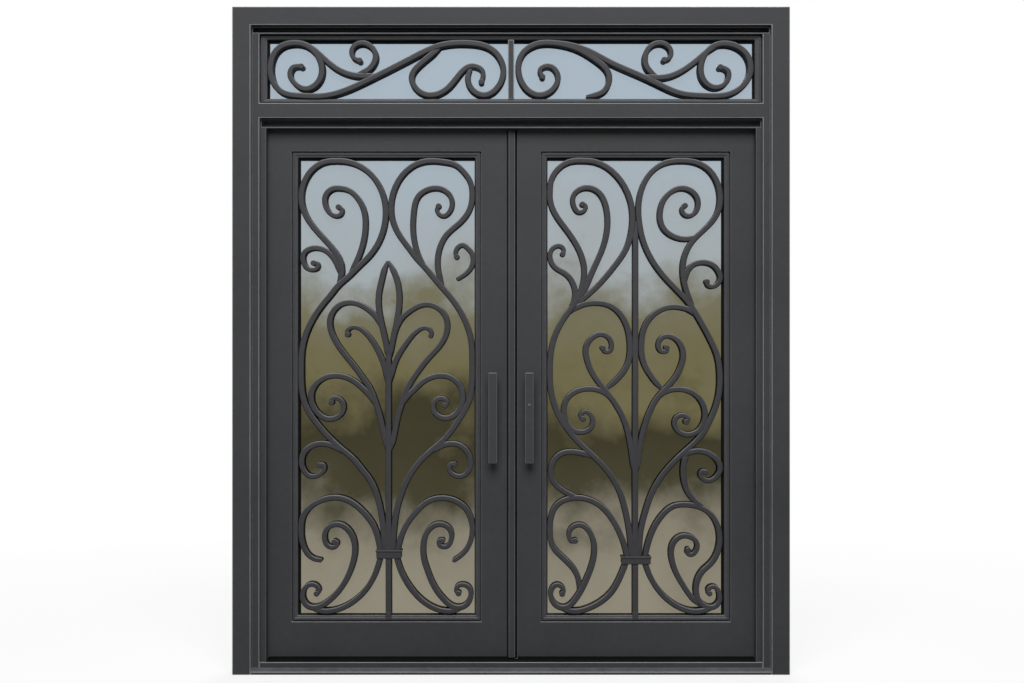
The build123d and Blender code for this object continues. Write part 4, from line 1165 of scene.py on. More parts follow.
    def rolled_ends(self) -> list[bpy.types.Object]:
        """Makes the rolled end of a bar, round with a soft rim, and copies it to every free end.

        Returns:
            The rolled ends, smaller where a bar only thins to a tip.
        """
        puck = Bench.rod("rolled_end", (0, 0, 0), self.knob_radius, self.knob_depth, self.knob_sides, False)
        Bench.ease(puck, self.knob_rim, 4)
        tip_size = self.tip_width / 2 / self.knob_radius
        ends = []
        for shares, first_end, last_end in self.bars:
            for end, share in ((first_end, shares[0]), (last_end, shares[-1])):
                if end is not WELD:
                    x, z = self.place(share)
                    twin = Bench.copy_of(puck)
                    twin.data.transform(Matrix.Translation((x, sum(self.y_ends) / 2, z))
                                        @ Matrix.Scale(1 if end is KNOB else tip_size, 4))
                    ends.append(twin)
        bpy.data.objects.remove(puck)
        return ends

    def tone(self, normal: Vector) -> Tone:
        """Gives the finish of a face.

        Args:
            normal: the way that the face looks.

        Returns:
            A painted highlight where an arris looks up, painted shade on the flanks and undersides, and plain
            elsewhere.
        """
        flat, up = abs(normal.y), normal.z
        if self.highlight_flatness[0] < flat < self.highlight_flatness[1] and up > self.highlight_slope:
            return Tone.ARRIS
        shaded_flank = flat < self.shade_flatness and up < self.highlight_slope
        shaded_underside = flat < self.highlight_flatness[1] and up < self.shade_under_slope
        return Tone.FLANK if shaded_flank or shaded_underside else Tone.FACE

    def build(self, palette: Palette) -> None:
        """Forges the bars, closes their free ends with rolled knobs, and puts the grille on its body.

        Args:
            palette: the finishes.
        """
        bars = self.forge()
        grille = Bench.join([bars, *self.rolled_ends()], self.name)
        # Each face of the bars takes painted shade or a painted highlight by the way it looks, as if lit from
        # above.
        for face in grille.data.polygons:
            face.material_index = self.tone(face.normal).value
        Bench.hand_over(grille, self.body, "iron", [self.node], palette.scrolls)


@dataclass
class GlazedLight:
    """The glazing of one opening: street bead, seals, pane with a painted reflection, deep gasket and room
    bead.
    """

    name: str
    body: str
    outer: Loop
    bead_across: float
    bead_up: float
    groove: float
    front_y: float
    glass_y: Span
    back_y: float
    bead_nodes: list[str]
    glass_node: str
    # The gasket's reveal at left, right, foot and head, uneven to stand in for shade.
    reveal: tuple[float, float, float, float]
    groove_depth: float = 0.009
    step_depth: float = 0.004
    face_share: float = 0.58
    step_share: float = 0.62
    slope: float = 0.0035
    slope_depth: float = 0.003
    chamfer: float = 0.005
    chamfer_depth: float = 0.004
    bead_arris: float = 0.0009
    pane: float = 0.005
    seal_lap: float = 0.002
    seal_crown: float = 0.0035
    seal_foot: float = 0.0045
    seal_height: float = 0.0022
    fine_arris: float = 0.0006

    def street_bead(self) -> bpy.types.Object:
        """Makes the street bead, with a groove outside it, a step and a sloped inner edge.

        Returns:
            The bead.
        """
        outer, groove, across, up = self.outer, self.groove, self.bead_across, self.bead_up
        floor, step = self.front_y + self.groove_depth, self.front_y + self.step_depth
        loops = [
            outer.shrunk(0, 0, self.glass_y[0]),
            outer.shrunk(0, 0, floor),
            outer.shrunk(groove, groove, floor),
            outer.shrunk(groove, groove, self.front_y),
            outer.shrunk(across * self.face_share, up * self.face_share, self.front_y),
            outer.shrunk(across * self.step_share, up * self.step_share, step),
            outer.shrunk(across - self.slope, up - self.slope, step),
            outer.shrunk(across, up, step + self.slope_depth),
            outer.shrunk(across, up, self.glass_y[0]),
        ]
        return Bench.moulding(f"{self.name}_street_bead", loops, self.bead_arris)

    def room_bead(self) -> bpy.types.Object:
        """Makes the room bead, with a chamfered inner edge.

        Returns:
            The bead.
        """
        outer, across, up, face = self.outer, self.bead_across, self.bead_up, self.glass_y[1]
        loops = [
            outer.shrunk(0, 0, face),
            outer.shrunk(across, up, face),
            outer.shrunk(across, up, self.back_y - self.chamfer_depth),
            outer.shrunk(across - self.chamfer, up - self.chamfer, self.back_y),
            outer.shrunk(0, 0, self.back_y),
        ]
        return Bench.moulding(f"{self.name}_room_bead", loops, self.bead_arris)

    def seal_ring(self) -> bpy.types.Object:
        """Makes the rubber seals that show as a dark line round both faces of the glass.

        Returns:
            Both seals, joined.
        """
        seals = []
        across, up = self.bead_across - self.seal_lap, self.bead_up - self.seal_lap
        for label, face, way in (("street", self.glass_y[0], -1), ("room", self.glass_y[1], 1)):
            crest = face + way * self.seal_height
            section = ((0, face), (0, crest), (self.seal_crown, crest), (self.seal_foot, face))
            loops = [self.outer.shrunk(across + width, up + width, y) for width, y in section]
            seals.append(Bench.moulding(f"{self.name}_{label}_seal", loops, self.fine_arris))
        return Bench.join(seals, f"{self.name}_seals")

    def sheet(self) -> bpy.types.Object:
        """Makes the pane with its painted reflection, set back against the room bead, with polished edges.

        Returns:
            The pane.
        """
        low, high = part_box(self.glass_node)
        return Bench.block(f"{self.name}_pane", (low.x, high.x), (high.y - self.pane, high.y),
                           (low.z, high.z), self.fine_arris)

    def gasket(self) -> bpy.types.Object:
        """Makes the deep black gasket between the street bead and the pane; its uneven reveal makes a black
        band that stands in for shade in the recess.

        Returns:
            The gasket.
        """
        low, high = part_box(self.glass_node)
        rim = Loop(low.x, high.x, low.z, high.z, low.y)
        bead, far = self.outer.shrunk(self.bead_across, self.bead_up, low.y), high.y - self.pane
        left, right, foot, head = self.reveal
        inner = Loop(bead.x_low + left, bead.x_high - right, bead.z_low + foot, bead.z_high - head, low.y)
        loops = [rim, inner, inner.shrunk(0, 0, far), rim.shrunk(0, 0, far)]
        return Bench.moulding(f"{self.name}_gasket", loops, self.fine_arris)

    def build(self, palette: Palette) -> None:
        """Builds the glazing and puts it on its body.

        Args:
            palette: the finishes.
        """
        beads = Bench.join([self.street_bead(), self.room_bead()], f"{self.name}_beads")
        Bench.hand_over(beads, self.body, "iron", self.bead_nodes, palette.leaf_iron)
        Bench.hand_over(self.seal_ring(), self.body, "iron", [], palette.rubber)
        Bench.hand_over(self.sheet(), self.body, "glass", [self.glass_node], palette.glass)
        Bench.hand_over(self.gasket(), self.body, "iron", [], palette.rubber)


@dataclass
class DoorFrame:
    """The fixed steel frame: surround, stepped liner with transom bar, stops, seals and sill."""

    outer: float = 1.060
    jamb: float = 0.990
    liner: float = 0.960
    stop: float = 0.937
    head: float = 2.540
    head_low: float = 2.470
    liner_head: float = 2.440
    bar_low: float = 2.120
    bar_high: float = 2.177
    stop_head: float = 2.083
    sill_top: float = 0.044
    depths: Span = (-0.070, 0.070)
    liner_depths: Span = (-0.046, 0.070)
    stop_depths: Span = (-0.025, 0.015)
    lip: float = 0.0055
    land: float = 0.006
    liner_gap_depth: float = 0.045
    stop_gap_depth: float = 0.036
    surround_arris: float = 0.003
    liner_arris: float = 0.0028
    stop_arris: float = 0.002
    seal_inset: float = 0.004
    seal_width: float = 0.009
    seal_height: float = 0.0042
    seal_arris: float = 0.0015
    sill_inset: float = 0.002
    sill_lip: Span = (0.011, 0.024)
    sill_lip_arris: float = 0.0018
    tread_arris: float = 0.0022
    strip_inset: float = 0.001
    strip_front: float = 0.006
    strip_back: float = 0.003
    strip_sunk: float = 0.0005
    strip_height: float = 0.0015
    strip_arris: float = 0.0006

    def surround(self) -> bpy.types.Object:
        """Makes the outer tubes, welded and ground flush at the corners.

        Returns:
            The surround.
        """
        piece = Bench.cut_plate("frame_surround", [-self.outer, -self.jamb, self.jamb, self.outer],
                                [0, self.head_low, self.head], [(1, 0)], self.depths)
        return Bench.ease(piece, self.surround_arris, 3)

    def stepped_liner(self) -> bpy.types.Object:
        """Makes the stepped liner, with the transom bar across it and a shadow gap at its head.

        Returns:
            The liner, with the dimmer painted highlight on the arrises of its head in a third material slot.
        """
        edge, gap = self.jamb - self.land, (self.liner_head + self.lip, self.head_low - self.land)
        piece = Bench.cut_plate("frame_liner", [-self.jamb, -edge, -self.liner, self.liner, edge, self.jamb],
                                [0, self.bar_low, self.bar_high, self.liner_head, *gap, self.head_low],
                                [(2, 0), (2, 2)], self.liner_depths)
        Bench.sink(piece, edge, gap, self.liner_gap_depth)
        Bench.ease(piece, self.liner_arris, 3)
        # The arrises of the head take the dimmer painted highlight.
        for face in piece.data.polygons:
            if face.material_index and face.center.z > self.liner_head - self.lip:
                face.material_index = 2
        return piece

    def stops(self) -> bpy.types.Object:
        """Makes the door stops, with a shadow gap over the head stop's lip.

        Returns:
            The stops, joined.
        """
        edge, gap = self.liner - self.land, (self.stop_head + self.lip, self.bar_low - self.land)
        piece = Bench.cut_plate("door_stops", [-self.liner, -edge, -self.stop, self.stop, edge, self.liner],
                                [self.sill_top, self.stop_head, *gap, self.bar_low], [(2, 0)],
                                self.stop_depths)
        Bench.sink(piece, edge, gap, self.stop_gap_depth)
        return Bench.ease(piece, self.stop_arris, 3)

    def stop_seal(self) -> bpy.types.Object:
        """Makes the rubber strip between the stops and the closed leaves.

        Returns:
            The strip.
        """
        face = self.stop_depths[1]
        inner, head = self.stop + self.seal_inset, self.stop_head + self.seal_inset
        outer = inner + self.seal_width
        piece = Bench.cut_plate("stop_seal", [-outer, -inner, inner, outer],
                                [self.sill_top, head, head + self.seal_width], [(1, 0)],
                                (face, face + self.seal_height))
        return Bench.ease(piece, self.seal_arris, 3)

    def sill(self) -> bpy.types.Object:
        """Makes the sloped lip and the raised tread of the sill.

        Returns:
            Both, joined.
        """
        front, face, back = self.depths[0] + self.sill_inset, self.liner_depths[0], self.depths[1]
        low, high = self.sill_lip
        lip = Bench.long_section("sill_lip", [(front, 0), (front, low), (face, high), (face, 0)], self.jamb,
                                 self.sill_lip_arris)
        tread = Bench.long_section("sill_tread", [(face, 0), (face, self.sill_top), (back, self.sill_top),
                                                  (back, 0)], self.liner, self.tread_arris)
        return Bench.join([lip, tread], "sill_and_tread")

    def tread_shade_strip(self) -> bpy.types.Object:
        """Makes the black rubber strip on the tread, in front of the closed leaves, a dark band that stands
        in for the shade under them.

        Returns:
            The strip.
        """
        half = self.stop - self.strip_inset
        y_ends = (self.liner_depths[0] + self.strip_front, self.stop_depths[1] + self.strip_back)
        z_ends = (self.sill_top - self.strip_sunk, self.sill_top + self.strip_height)
        return Bench.block("tread_shade_strip", (-half, half), y_ends, z_ends, self.strip_arris)

    def build(self, palette: Palette) -> None:
        """Builds the frame and puts it on the fixed body.

        Args:
            palette: the finishes.
        """
        for piece, nodes, finishes in (
                (self.surround(), ["left_jamb", "right_jamb", "head_jamb"], palette.iron),
                (self.stepped_liner(), ["left_liner", "right_liner", "head_liner", "transom_bar"],
                 palette.liner_iron),
                (self.stops(), ["left_stop", "right_stop", "head_stop"], palette.leaf_iron),
                (self.stop_seal(), [], palette.rubber),
                (self.sill(), ["sill"], palette.iron),
                (self.tread_shade_strip(), [], palette.rubber)):
            Bench.hand_over(piece, "root", "iron", nodes, finishes)


@dataclass
class TransomLight:
    """The fixed light over the doors: glazing, mullion and two scrolled bays."""

    frame_x: float = 0.960
    frame_z: Span = (2.177, 2.440)
    bead_across: float = 0.027
    bead_up: float = 0.018
    groove: float = 0.004
    bead_front: float = -0.028
    # The reveal is broadest at the head, a black band that stands in for shade there.
    reveal: tuple[float, float, float, float] = (0.0065, 0.0065, 0.003, 0.010)
    mullion: float = 0.0115
    mullion_arris: float = 0.003
    grille_y: Span = (-0.030, -0.014)

    def build(self, palette: Palette) -> None:
        """Builds the transom light and puts it on the fixed body.

        Args:
            palette: the finishes.
        """
        low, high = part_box("transom_glass")
        outer = Loop(-self.frame_x, self.frame_x, *self.frame_z, 0.0)
        GlazedLight("transom", "root", outer, self.bead_across, self.bead_up, self.groove, self.bead_front,
                    (low.y, high.y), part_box("transom_bead_rails")[1].y,
                    ["transom_bead_rails", "transom_bead_stiles"], "transom_glass",
                    self.reveal).build(palette)
        post_low, post_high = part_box("transom_mullion")
        post = Bench.block("transom_post", *zip(post_low, post_high), self.mullion_arris, 3)
        Bench.hand_over(post, "root", "iron", ["transom_mullion"], palette.iron)
        bay = self.frame_x - self.bead_across
        levels = (self.frame_z[0] + self.bead_up, self.frame_z[1] - self.bead_up)
        for side, bars, x_ends in (("left", left_transom_shares, (-bay, -self.mullion)),
                                   ("right", right_transom_shares, (self.mullion, bay))):
            ScrollGrille(f"transom_grille_{side}", f"transom_scrollwork_{side}", "root", bars, x_ends, levels,
                         self.grille_y).build(palette)


@dataclass
class BarrelHinges:
    """Three welded barrel hinges on the room side of one leaf."""

    side: Side
    axis: Point = (0.9575, 0.086)
    radius: float = 0.014
    sides: int = 40
    height: float = 0.120
    gap: float = 0.001
    tab: Point = (0.032, 0.008)
    lap: float = 0.0045
    face: float = 0.070
    levels: tuple[float, ...] = (0.2565, 1.1238, 1.9085)
    knuckle_arris: float = 0.0018
    tab_arris: float = 0.0015
    cap_share: float = 0.72
    cap_rise: float = 0.003
    cap_sunk: float = 0.001
    cap_arris: float = 0.0022

    def barrel(self, name: str, radius: float, z_ends: Span, arris: float) -> bpy.types.Object:
        """Makes an upright barrel on the hinge's axis.

        Args:
            name: the name of the piece.
            radius: its radius.
            z_ends: its lower and upper end.
            arris: the width of its rounded rims.

        Returns:
            The barrel.
        """
        middle = (self.side.hand * self.axis[0], self.axis[1], sum(z_ends) / 2)
        return Bench.ease(Bench.rod(name, middle, radius, z_ends[1] - z_ends[0], self.sides, True), arris, 3)

    def half(self, label: str, way: int, z_ends: Span, level: int) -> bpy.types.Object:
        """Makes one half of a hinge.

        Args:
            label: which half it is.
            way: the side of the axis that its tab is on.
            z_ends: its lower and upper end.
            level: the number of the hinge up the leaf.

        Returns:
            The barrel with its tab and a rounded cap.
        """
        knuckle = self.barrel(f"{label}_knuckle_{level}", self.radius, z_ends, self.knuckle_arris)
        near = self.side.hand * self.axis[0] + way * self.lap
        tab = Bench.block(f"{label}_tab_{level}", (near, near + way * self.tab[0]),
                          (self.face, self.face + self.tab[1]), z_ends, self.tab_arris)
        if label == "jamb":
            cap_z = (z_ends[0] - self.cap_rise, z_ends[0] + self.cap_sunk)
        else:
            cap_z = (z_ends[1] - self.cap_sunk, z_ends[1] + self.cap_rise)
        cap = self.barrel(f"{label}_cap_{level}", self.radius * self.cap_share, cap_z, self.cap_arris)
        return Bench.join([knuckle, tab, cap], f"{label}_half_{level}")

    def build(self, palette: Palette) -> None:
        """Builds the hinges, the lower halves on the frame and the upper halves on the leaf.

        Args:
            palette: the finishes.
        """
        jamb, leaf = [], []
        reach = (self.height - self.gap) / 2
        for level, middle in enumerate(self.levels):
            low, high = middle - self.height / 2, middle + self.height / 2
            jamb.append(self.half("jamb", self.side.hand, (low, low + reach), level))
            leaf.append(self.half("leaf", -self.side.hand, (high - reach, high), level))
        side = self.side.value
        Bench.hand_over(Bench.join(jamb, f"{side}_hinges_on_jamb"), "root", "iron",
                        [f"{side}_jamb_hinges"], palette.iron)
        Bench.hand_over(Bench.join(leaf, f"{side}_hinges_on_leaf"), f"{side}_leaf", "iron",
                        [f"{side}_leaf_hinges"], palette.iron)


@dataclass
class PullHandles:
    """The pull bars back to back on one leaf, each on two posts, and the lock in the right one."""

    side: Side
    leaf_faces: Span
    bar_depth: float = 0.020
    bar_arris: float = 0.003
    post_from_end: float = 0.048
    post_half: float = 0.010
    post_lap: float = 0.001
    post_sunk: float = 0.0003
    post_arris: float = 0.0025
    foot_half: float = 0.013
    foot_height: float = 0.003
    foot_arris: float = 0.0022
    lock_z: float = 1.026
    lock_radius: float = 0.006
    lock_sides: int = 40
    lock_rim: float = 0.0013
    lock_dish: float = 0.0008
    lock_arris: float = 0.0005
    key_half: Point = (0.0007, 0.0032)
    key_proud: float = 0.0002
    key_sunk: float = 0.001
    key_arris: float = 0.0003

    def build(self, palette: Palette) -> None:
        """Builds the pulls and puts them on their leaf.

        Args:
            palette: the finishes.
        """
        side = self.side.value
        low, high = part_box(f"{side}_pull_bars")
        x = (low.x + high.x) / 2
        bars, posts = [], []
        for label, grip, face, way in (("street", low.y, self.leaf_faces[0], -1),
                                       ("room", high.y, self.leaf_faces[1], 1)):
            bars.append(Bench.block(f"{side}_{label}_bar", (low.x, high.x),
                                    (grip, grip - way * self.bar_depth), (low.z, high.z), self.bar_arris))
            post_y = (grip - way * (self.bar_depth - self.post_lap), face - way * self.post_sunk)
            foot_y = (face, face + way * self.foot_height)
            for z in (low.z + self.post_from_end, high.z - self.post_from_end):
                for part, half, y_ends, arris in (("post", self.post_half, post_y, self.post_arris),
                                                  ("foot", self.foot_half, foot_y, self.foot_arris)):
                    posts.append(Bench.block(f"{side}_{label}_{part}", (x - half, x + half), y_ends,
                                             (z - half, z + half), arris, 3))
        for piece, node in ((Bench.join(bars, f"{side}_pulls"), f"{side}_pull_bars"),
                            (Bench.join(posts, f"{side}_pull_feet"), f"{side}_pull_posts")):
            Bench.hand_over(piece, f"{side}_leaf", "iron", [node], palette.leaf_iron)
        if self.side is Side.RIGHT:
            self.lock(palette)

    def lock(self, palette: Palette) -> None:
        """Makes the lock cylinder, dished round its keyway, in the street face of the pull.

        Args:
            palette: the finishes.
        """
        low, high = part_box("right_lock_cylinder")
        x = (low.x + high.x) / 2
        rose = Bench.rod("lock_rose", (x, (low.y + high.y) / 2, self.lock_z), self.lock_radius,
                         high.y - low.y, self.lock_sides, False)
        bpy.ops.object.mode_set(mode="EDIT")
        Bench.pick_faces(rose, lambda _centre, normal: normal.y < Bench.street_facing)
        bpy.ops.mesh.inset(thickness=self.lock_rim)
        Bench.draw_out(0, self.lock_dish)
        Bench.face_out()
        Bench.ease(rose, self.lock_arris)
        Bench.hand_over(rose, "right_leaf", "lock", ["right_lock_cylinder"], palette.steel)
        # The black block in the keyway stands in for the shade inside the slot.
        dish = low.y + self.lock_dish
        across, up = self.key_half
        key = Bench.block("lock_keyway_shade", (x - across, x + across),
                          (dish - self.key_proud, dish + self.key_sunk), (self.lock_z - up, self.lock_z + up),
                          self.key_arris)
        Bench.hand_over(key, "right_leaf", "lock", [], palette.rubber)


@dataclass
class Leaf:
    """One glazed leaf: welded ring, glazing, scrollwork, collar, hinges, pulls and seals."""

    side: Side
    bars: list[Bar]
    hinge_edge: float = 0.955
    meeting_front: Span = (0.016, 0.0225)
    meeting_back: Span = (0.0135, 0.025)
    hinge_stile: float = 0.845
    meeting_stile: float = 0.115
    levels: Span = (0.050, 2.115)
    rails: Span = (0.188, 1.999)
    depths: Span = (0.020, 0.070)
    ring_arris: float = 0.0024
    bead: float = 0.023
    groove: float = 0.0045
    bead_front: float = 0.026
    # The gasket reveal is broader at the hinge side and head, a black band that stands in for shade there.
    reveal: float = 0.003
    hinge_shade_reveal: float = 0.008
    head_shade_reveal: float = 0.009
    grille_y: Span = (0.025, 0.041)
    collar_trim: float = 0.004
    collar_lip: float = 0.009
    collar_overhang: float = 0.0025
    collar_arrises: Point = (0.0035, 0.003)
    foot_half: float = 0.0112
    foot_y: Span = (0.0243, 0.034)
    foot_start: float = 0.0055
    foot_rise: float = 0.012
    foot_arris: float = 0.0028
    brush_inset: float = 0.003
    brush_y: Span = (0.0012, 0.022)
    brush_z: Span = (-0.0055, 0.002)
    sweep_edge: float = 0.933
    sweep_lap: float = 0.001
    sweep_y: Span = (-0.0012, 0.002)
    sweep_z: Span = (-0.0052, 0.0045)
    gap_brush_x: Span = (0.012, 0.0228)
    gap_brush_y: Span = (0.016, 0.026)
    brush_arris: float = 0.0012
    shadow_line: float = 0.006
    strip_arris: float = 0.003
    strip_seal_lap: float = 0.001
    strip_seal_height: float = 0.003
    strip_seal_arris: float = 0.001

    @property
    def body(self) -> str:
        """Gives the body that the leaf moves as."""
        return f"{self.side.value}_leaf"

    @property
    def inner_x(self) -> list[float]:
        """Gives the two sides of the ring's opening, from left to right."""
        return sorted((self.side.hand * self.meeting_stile, self.side.hand * self.hinge_stile))

    @property
    def opening(self) -> tuple[Span, Span]:
        """Gives the ends of the opening inside the beads, across and up."""
        low, high = self.inner_x
        return (low + self.bead, high - self.bead), (self.rails[0] + self.bead, self.rails[1] - self.bead)

    def ring(self) -> bpy.types.Object:
        """Makes the welded ring of stiles and rails, its meeting edge bevelled.

        Returns:
            The ring.
        """
        left = self.side is Side.LEFT
        outer_x = [(-self.hinge_edge, edge[0]) if left else (edge[1], self.hinge_edge)
                   for edge in (self.meeting_front, self.meeting_back)]
        front, back = self.depths
        loops = [Loop(*outer_x[0], *self.levels, front), Loop(*self.inner_x, *self.rails, front),
                 Loop(*self.inner_x, *self.rails, back), Loop(*outer_x[1], *self.levels, back)]
        return Bench.moulding(f"{self.side.value}_leaf_ring", loops, self.ring_arris, 3)

    def glazing(self, palette: Palette) -> None:
        """Builds the glazing, whose black reveal is broader at the head and the hinge side, where it stands
        in for shade.

        Args:
            palette: the finishes.
        """
        side = self.side.value
        low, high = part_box(f"{side}_glass")
        sides = [self.reveal, self.hinge_shade_reveal]
        if self.side is Side.LEFT:
            sides.reverse()
        GlazedLight(side, self.body, Loop(*self.inner_x, *self.rails, 0.0), self.bead, self.bead, self.groove,
                    self.bead_front, (low.y, high.y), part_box(f"{side}_bead_rails")[1].y,
                    [f"{side}_bead_rails", f"{side}_bead_stiles"], f"{side}_glass",
                    (*sides, self.reveal, self.head_shade_reveal)).build(palette)

    def collar(self) -> bpy.types.Object:
        """Makes the collar round the neck of the scrollwork, with a lip along its top.

        Returns:
            The collar.
        """
        low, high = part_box(f"{self.side.value}_collar")
        over, lip = self.collar_overhang, self.collar_lip
        band_arris, lip_arris = self.collar_arrises
        x_ends = (low.x + self.collar_trim, high.x - self.collar_trim)
        band = Bench.block(f"{self.side.value}_collar_band", (x_ends[0] + over, x_ends[1] - over),
                           (low.y + over, high.y), (low.z, high.z - lip / 2), band_arris, 4)
        edge = Bench.block(f"{self.side.value}_collar_lip", x_ends, (low.y, high.y), (high.z - lip, high.z),
                           lip_arris, 4)
        return Bench.join([band, edge], f"{self.side.value}_collar_wrap")

    def stem_foot(self) -> bpy.types.Object:
        """Makes the flattened foot of the stem, which laps over the bottom bead.

        Returns:
            The foot.
        """
        (left, right), (low, _head) = self.opening
        stem_points = self.bars[0][0]
        x = left + stem_points[0][0] * (right - left)
        return Bench.block(f"{self.side.value}_stem_foot", (x - self.foot_half, x + self.foot_half),
                           self.foot_y, (self.rails[0] + self.foot_start, low + self.foot_rise),
                           self.foot_arris, 4)

    def seals(self) -> bpy.types.Object:
        """Makes the brush and sweep at the foot, and on the left leaf the brush in the meeting gap.

        Returns:
            The strips, joined.
        """
        side, hand = self.side.value, self.side.hand
        low, front = self.levels[0], self.depths[0]
        reach = self.meeting_back[0 if self.side is Side.LEFT else 1]
        brush_x = (hand * (self.hinge_edge - self.brush_inset), reach)
        sweep_x = (hand * self.sweep_edge, reach + self.sweep_lap)
        strips = [("foot_brush", brush_x, self.brush_y, self.brush_z),
                  ("foot_sweep", sweep_x, self.sweep_y, self.sweep_z)]
        if self.side is Side.LEFT:
            strips.append(("meeting_brush", self.gap_brush_x, self.gap_brush_y,
                           (self.sweep_z[0], self.levels[1] - low)))
        return Bench.join([Bench.block(f"{side}_{part}", x_ends, (front + y_low, front + y_high),
                                       (low + z_low, low + z_high), self.brush_arris)
                           for part, x_ends, (y_low, y_high), (z_low, z_high) in strips], f"{side}_brushes")

    def astragal(self) -> bpy.types.Object:
        """Makes the strip over the meeting line, with broad rounded arrises.

        Returns:
            The strip.
        """
        low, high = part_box("left_astragal")
        return Bench.block("left_meeting_strip", (low.x + self.shadow_line, high.x), (low.y, high.y),
                           (low.z, high.z), self.strip_arris, 3)

    def shadow_lip(self) -> bpy.types.Object:
        """Makes the black rubber lip along the outer edge of the meeting strip, a dark line that stands in
        for the shadow there.

        Returns:
            The lip.
        """
        low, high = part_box("left_astragal")
        return Bench.block("left_shadow_lip", (low.x, low.x + self.shadow_line + self.strip_seal_lap),
                           (high.y - self.strip_seal_height, high.y), (low.z, high.z), self.strip_seal_arris)

    def build(self, palette: Palette) -> None:
        """Builds the leaf and puts it on its own body.

        Args:
            palette: the finishes.
        """
        side = self.side.value
        Bench.hand_over(self.ring(), self.body, "iron",
                        [f"{side}_hinge_stile", f"{side}_meeting_stile", f"{side}_top_rail",
                         f"{side}_bottom_rail"], palette.leaf_iron)
        self.glazing(palette)
        ScrollGrille(f"{side}_grille", f"{side}_scrollwork", self.body, self.bars, *self.opening,
                     self.grille_y).build(palette)
        Bench.hand_over(self.stem_foot(), self.body, "iron", [], palette.wrought)
        Bench.hand_over(self.collar(), self.body, "iron", [f"{side}_collar"], palette.wrought)
        if self.side is Side.LEFT:
            Bench.hand_over(self.astragal(), self.body, "iron", ["left_astragal"], palette.leaf_iron)
            Bench.hand_over(self.shadow_lip(), self.body, "iron", [], palette.rubber)
        Bench.hand_over(self.seals(), self.body, "iron", [], palette.rubber)
        PullHandles(self.side, self.depths).build(palette)
        BarrelHinges(self.side).build(palette)


@dataclass(frozen=True)
class SoftBox:
    """One soft lamp: its place, the point that it faces, its power in watts, and its width and height."""

    name: str
    place: Place
    aim: Place
    power: float
    size: Point

    def build(self) -> None:
        """Hangs the lamp."""
        light = bpy.data.lights.new(self.name, "AREA")
        light.shape, light.energy = "RECTANGLE", self.power
        light.size, light.size_y = self.size
        lamp = bpy.data.objects.new(self.name, light)
        bpy.context.collection.objects.link(lamp)
        lamp.location = self.place
        lamp.rotation_euler = (Vector(self.aim) - Vector(self.place)).to_track_quat("-Z", "Y").to_euler()


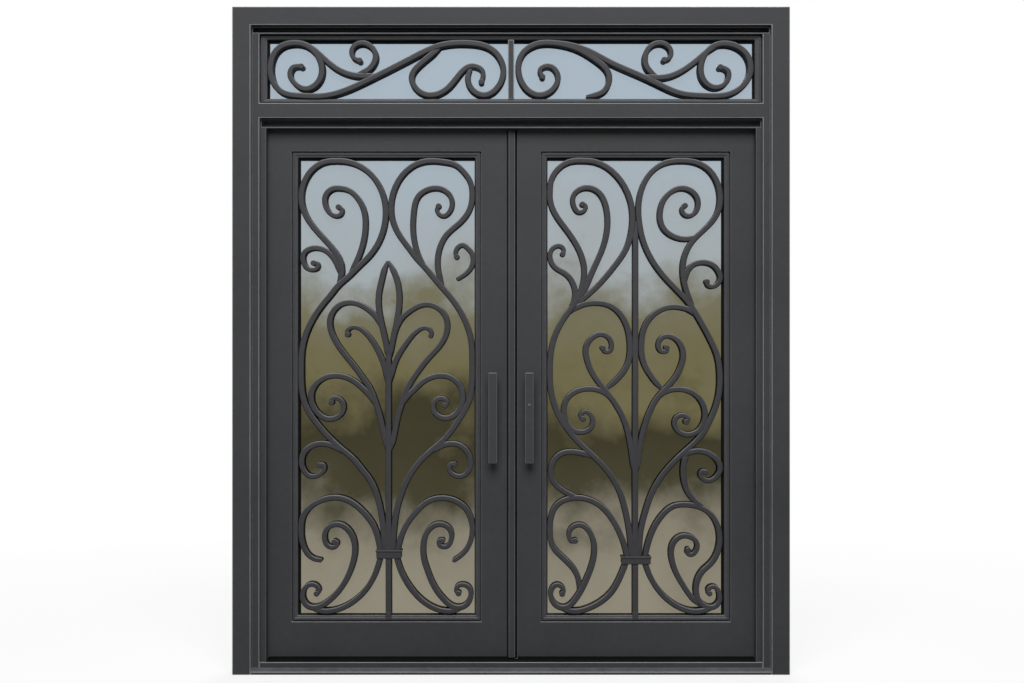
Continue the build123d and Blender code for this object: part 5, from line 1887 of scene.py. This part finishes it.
@dataclass
class Studio:
    """The floor, the lamps, the white surroundings and the camera."""

    camera_place: Place = (0.0, -6.5, 1.273)
    lens: float = 59.5
    sensor: float = 36.0
    shift: Point = (0.00093, -0.00146)
    ambient: float = 0.10
    floor_size: float = 14.0
    floor_tone: Colour = (0.20, 0.20, 0.20, 1)
    floor_seen: Colour = (0.8, 0.8, 0.8, 1)
    floor_roughness: float = 0.9
    fade: Span = (2.0, 5.0)
    near_glow_share: float = 0.78
    lamps: tuple[SoftBox, ...] = (
        SoftBox("street_soft_box", (-0.2, -6.2, 6.4), (0.0, 0.0, 1.4), 800.0, (5.0, 5.0)),
        SoftBox("room_soft_box", (0.6, 6.0, 6.4), (0.0, 0.0, 1.3), 420.0, (3.6, 3.6)),
    )

    @staticmethod
    def whiteness(desk: Desk) -> bpy.types.NodeSocket:
        """Gives a mask of the rays that should see a white background.

        Args:
            desk: the desk of the floor's or the world's nodes.

        Returns:
            The mask's socket.
        """
        rays = desk.node("ShaderNodeLightPath")
        mask = rays.outputs["Is Camera Ray"]
        for label in ("Is Glossy Ray", "Is Transmission Ray"):
            mask = desk.combine("MAXIMUM", mask, rays.outputs[label])
        return mask

    def surroundings(self) -> None:
        """Makes the world: a plain soft light that the camera, metal and glass see as white."""
        world = bpy.data.worlds.new("studio_white")
        bpy.context.scene.world = world
        world.use_nodes = True
        desk = Desk(world.node_tree)
        backdrop = world.node_tree.nodes["Background"]
        backdrop.inputs["Color"].default_value = (1, 1, 1, 1)
        strength = desk.span(self.whiteness(desk), desk.whole, (self.ambient, 1.0))
        desk.link(strength, backdrop.inputs["Strength"])

    def floor(self) -> None:
        """Makes the pale floor, which keeps the door's shadow and fades to white away from it."""
        ground = Bench.start(bpy.ops.mesh.primitive_plane_add, "studio_floor", size=self.floor_size)
        desk, material, shader = Desk.for_material("studio_floor_white")
        shader.inputs["Roughness"].default_value = self.floor_roughness
        mask = self.whiteness(desk)
        desk.link(desk.mix(mask, self.floor_tone, self.floor_seen), shader.inputs["Base Color"])
        away = desk.node("ShaderNodeVectorMath", operation="LENGTH")
        desk.link(desk.node("ShaderNodeTexCoord").outputs["Object"], away.inputs["Vector"])
        faded = desk.span(away.outputs["Value"], self.fade, (self.near_glow_share, 1.0))
        blend = desk.node("ShaderNodeMixShader")
        glow = desk.node("ShaderNodeEmission", Strength=1.0)
        desk.link(desk.combine("MULTIPLY", mask, faded), blend.inputs["Fac"])
        desk.link(shader.outputs["BSDF"], blend.inputs[1])
        desk.link(glow.outputs["Emission"], blend.inputs[2])
        desk.link(blend.outputs["Shader"], desk.tree.nodes["Material Output"].inputs["Surface"])
        ground.data.materials.append(material)

    def build(self) -> None:
        """Sets up the studio and the camera at the photograph's viewpoint."""
        self.surroundings()
        self.floor()
        for lamp in self.lamps:
            lamp.build()
        camera = bpy.data.objects.new("photo_camera", bpy.data.cameras.new("photo_camera"))
        bpy.context.collection.objects.link(camera)
        camera.location = self.camera_place
        camera.rotation_euler = (math.pi / 2, 0, 0)
        camera.data.lens, camera.data.sensor_width = self.lens, self.sensor
        camera.data.sensor_fit = "HORIZONTAL"
        camera.data.shift_x, camera.data.shift_y = self.shift
        bpy.context.scene.camera = camera
        bpy.context.scene.view_settings.view_transform = "Standard"


def main() -> None:
    """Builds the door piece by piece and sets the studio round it."""
    logging.basicConfig(level=logging.INFO, format="%(message)s")
    palette = Palette()
    DoorFrame().build(palette)
    TransomLight().build(palette)
    Leaf(Side.LEFT, left_leaf_shares).build(palette)
    Leaf(Side.RIGHT, right_leaf_shares).build(palette)
    for blank in Bench.blanks():
        bpy.data.materials.remove(blank)
    Studio().build()


if __name__ == "__main__":
    main()
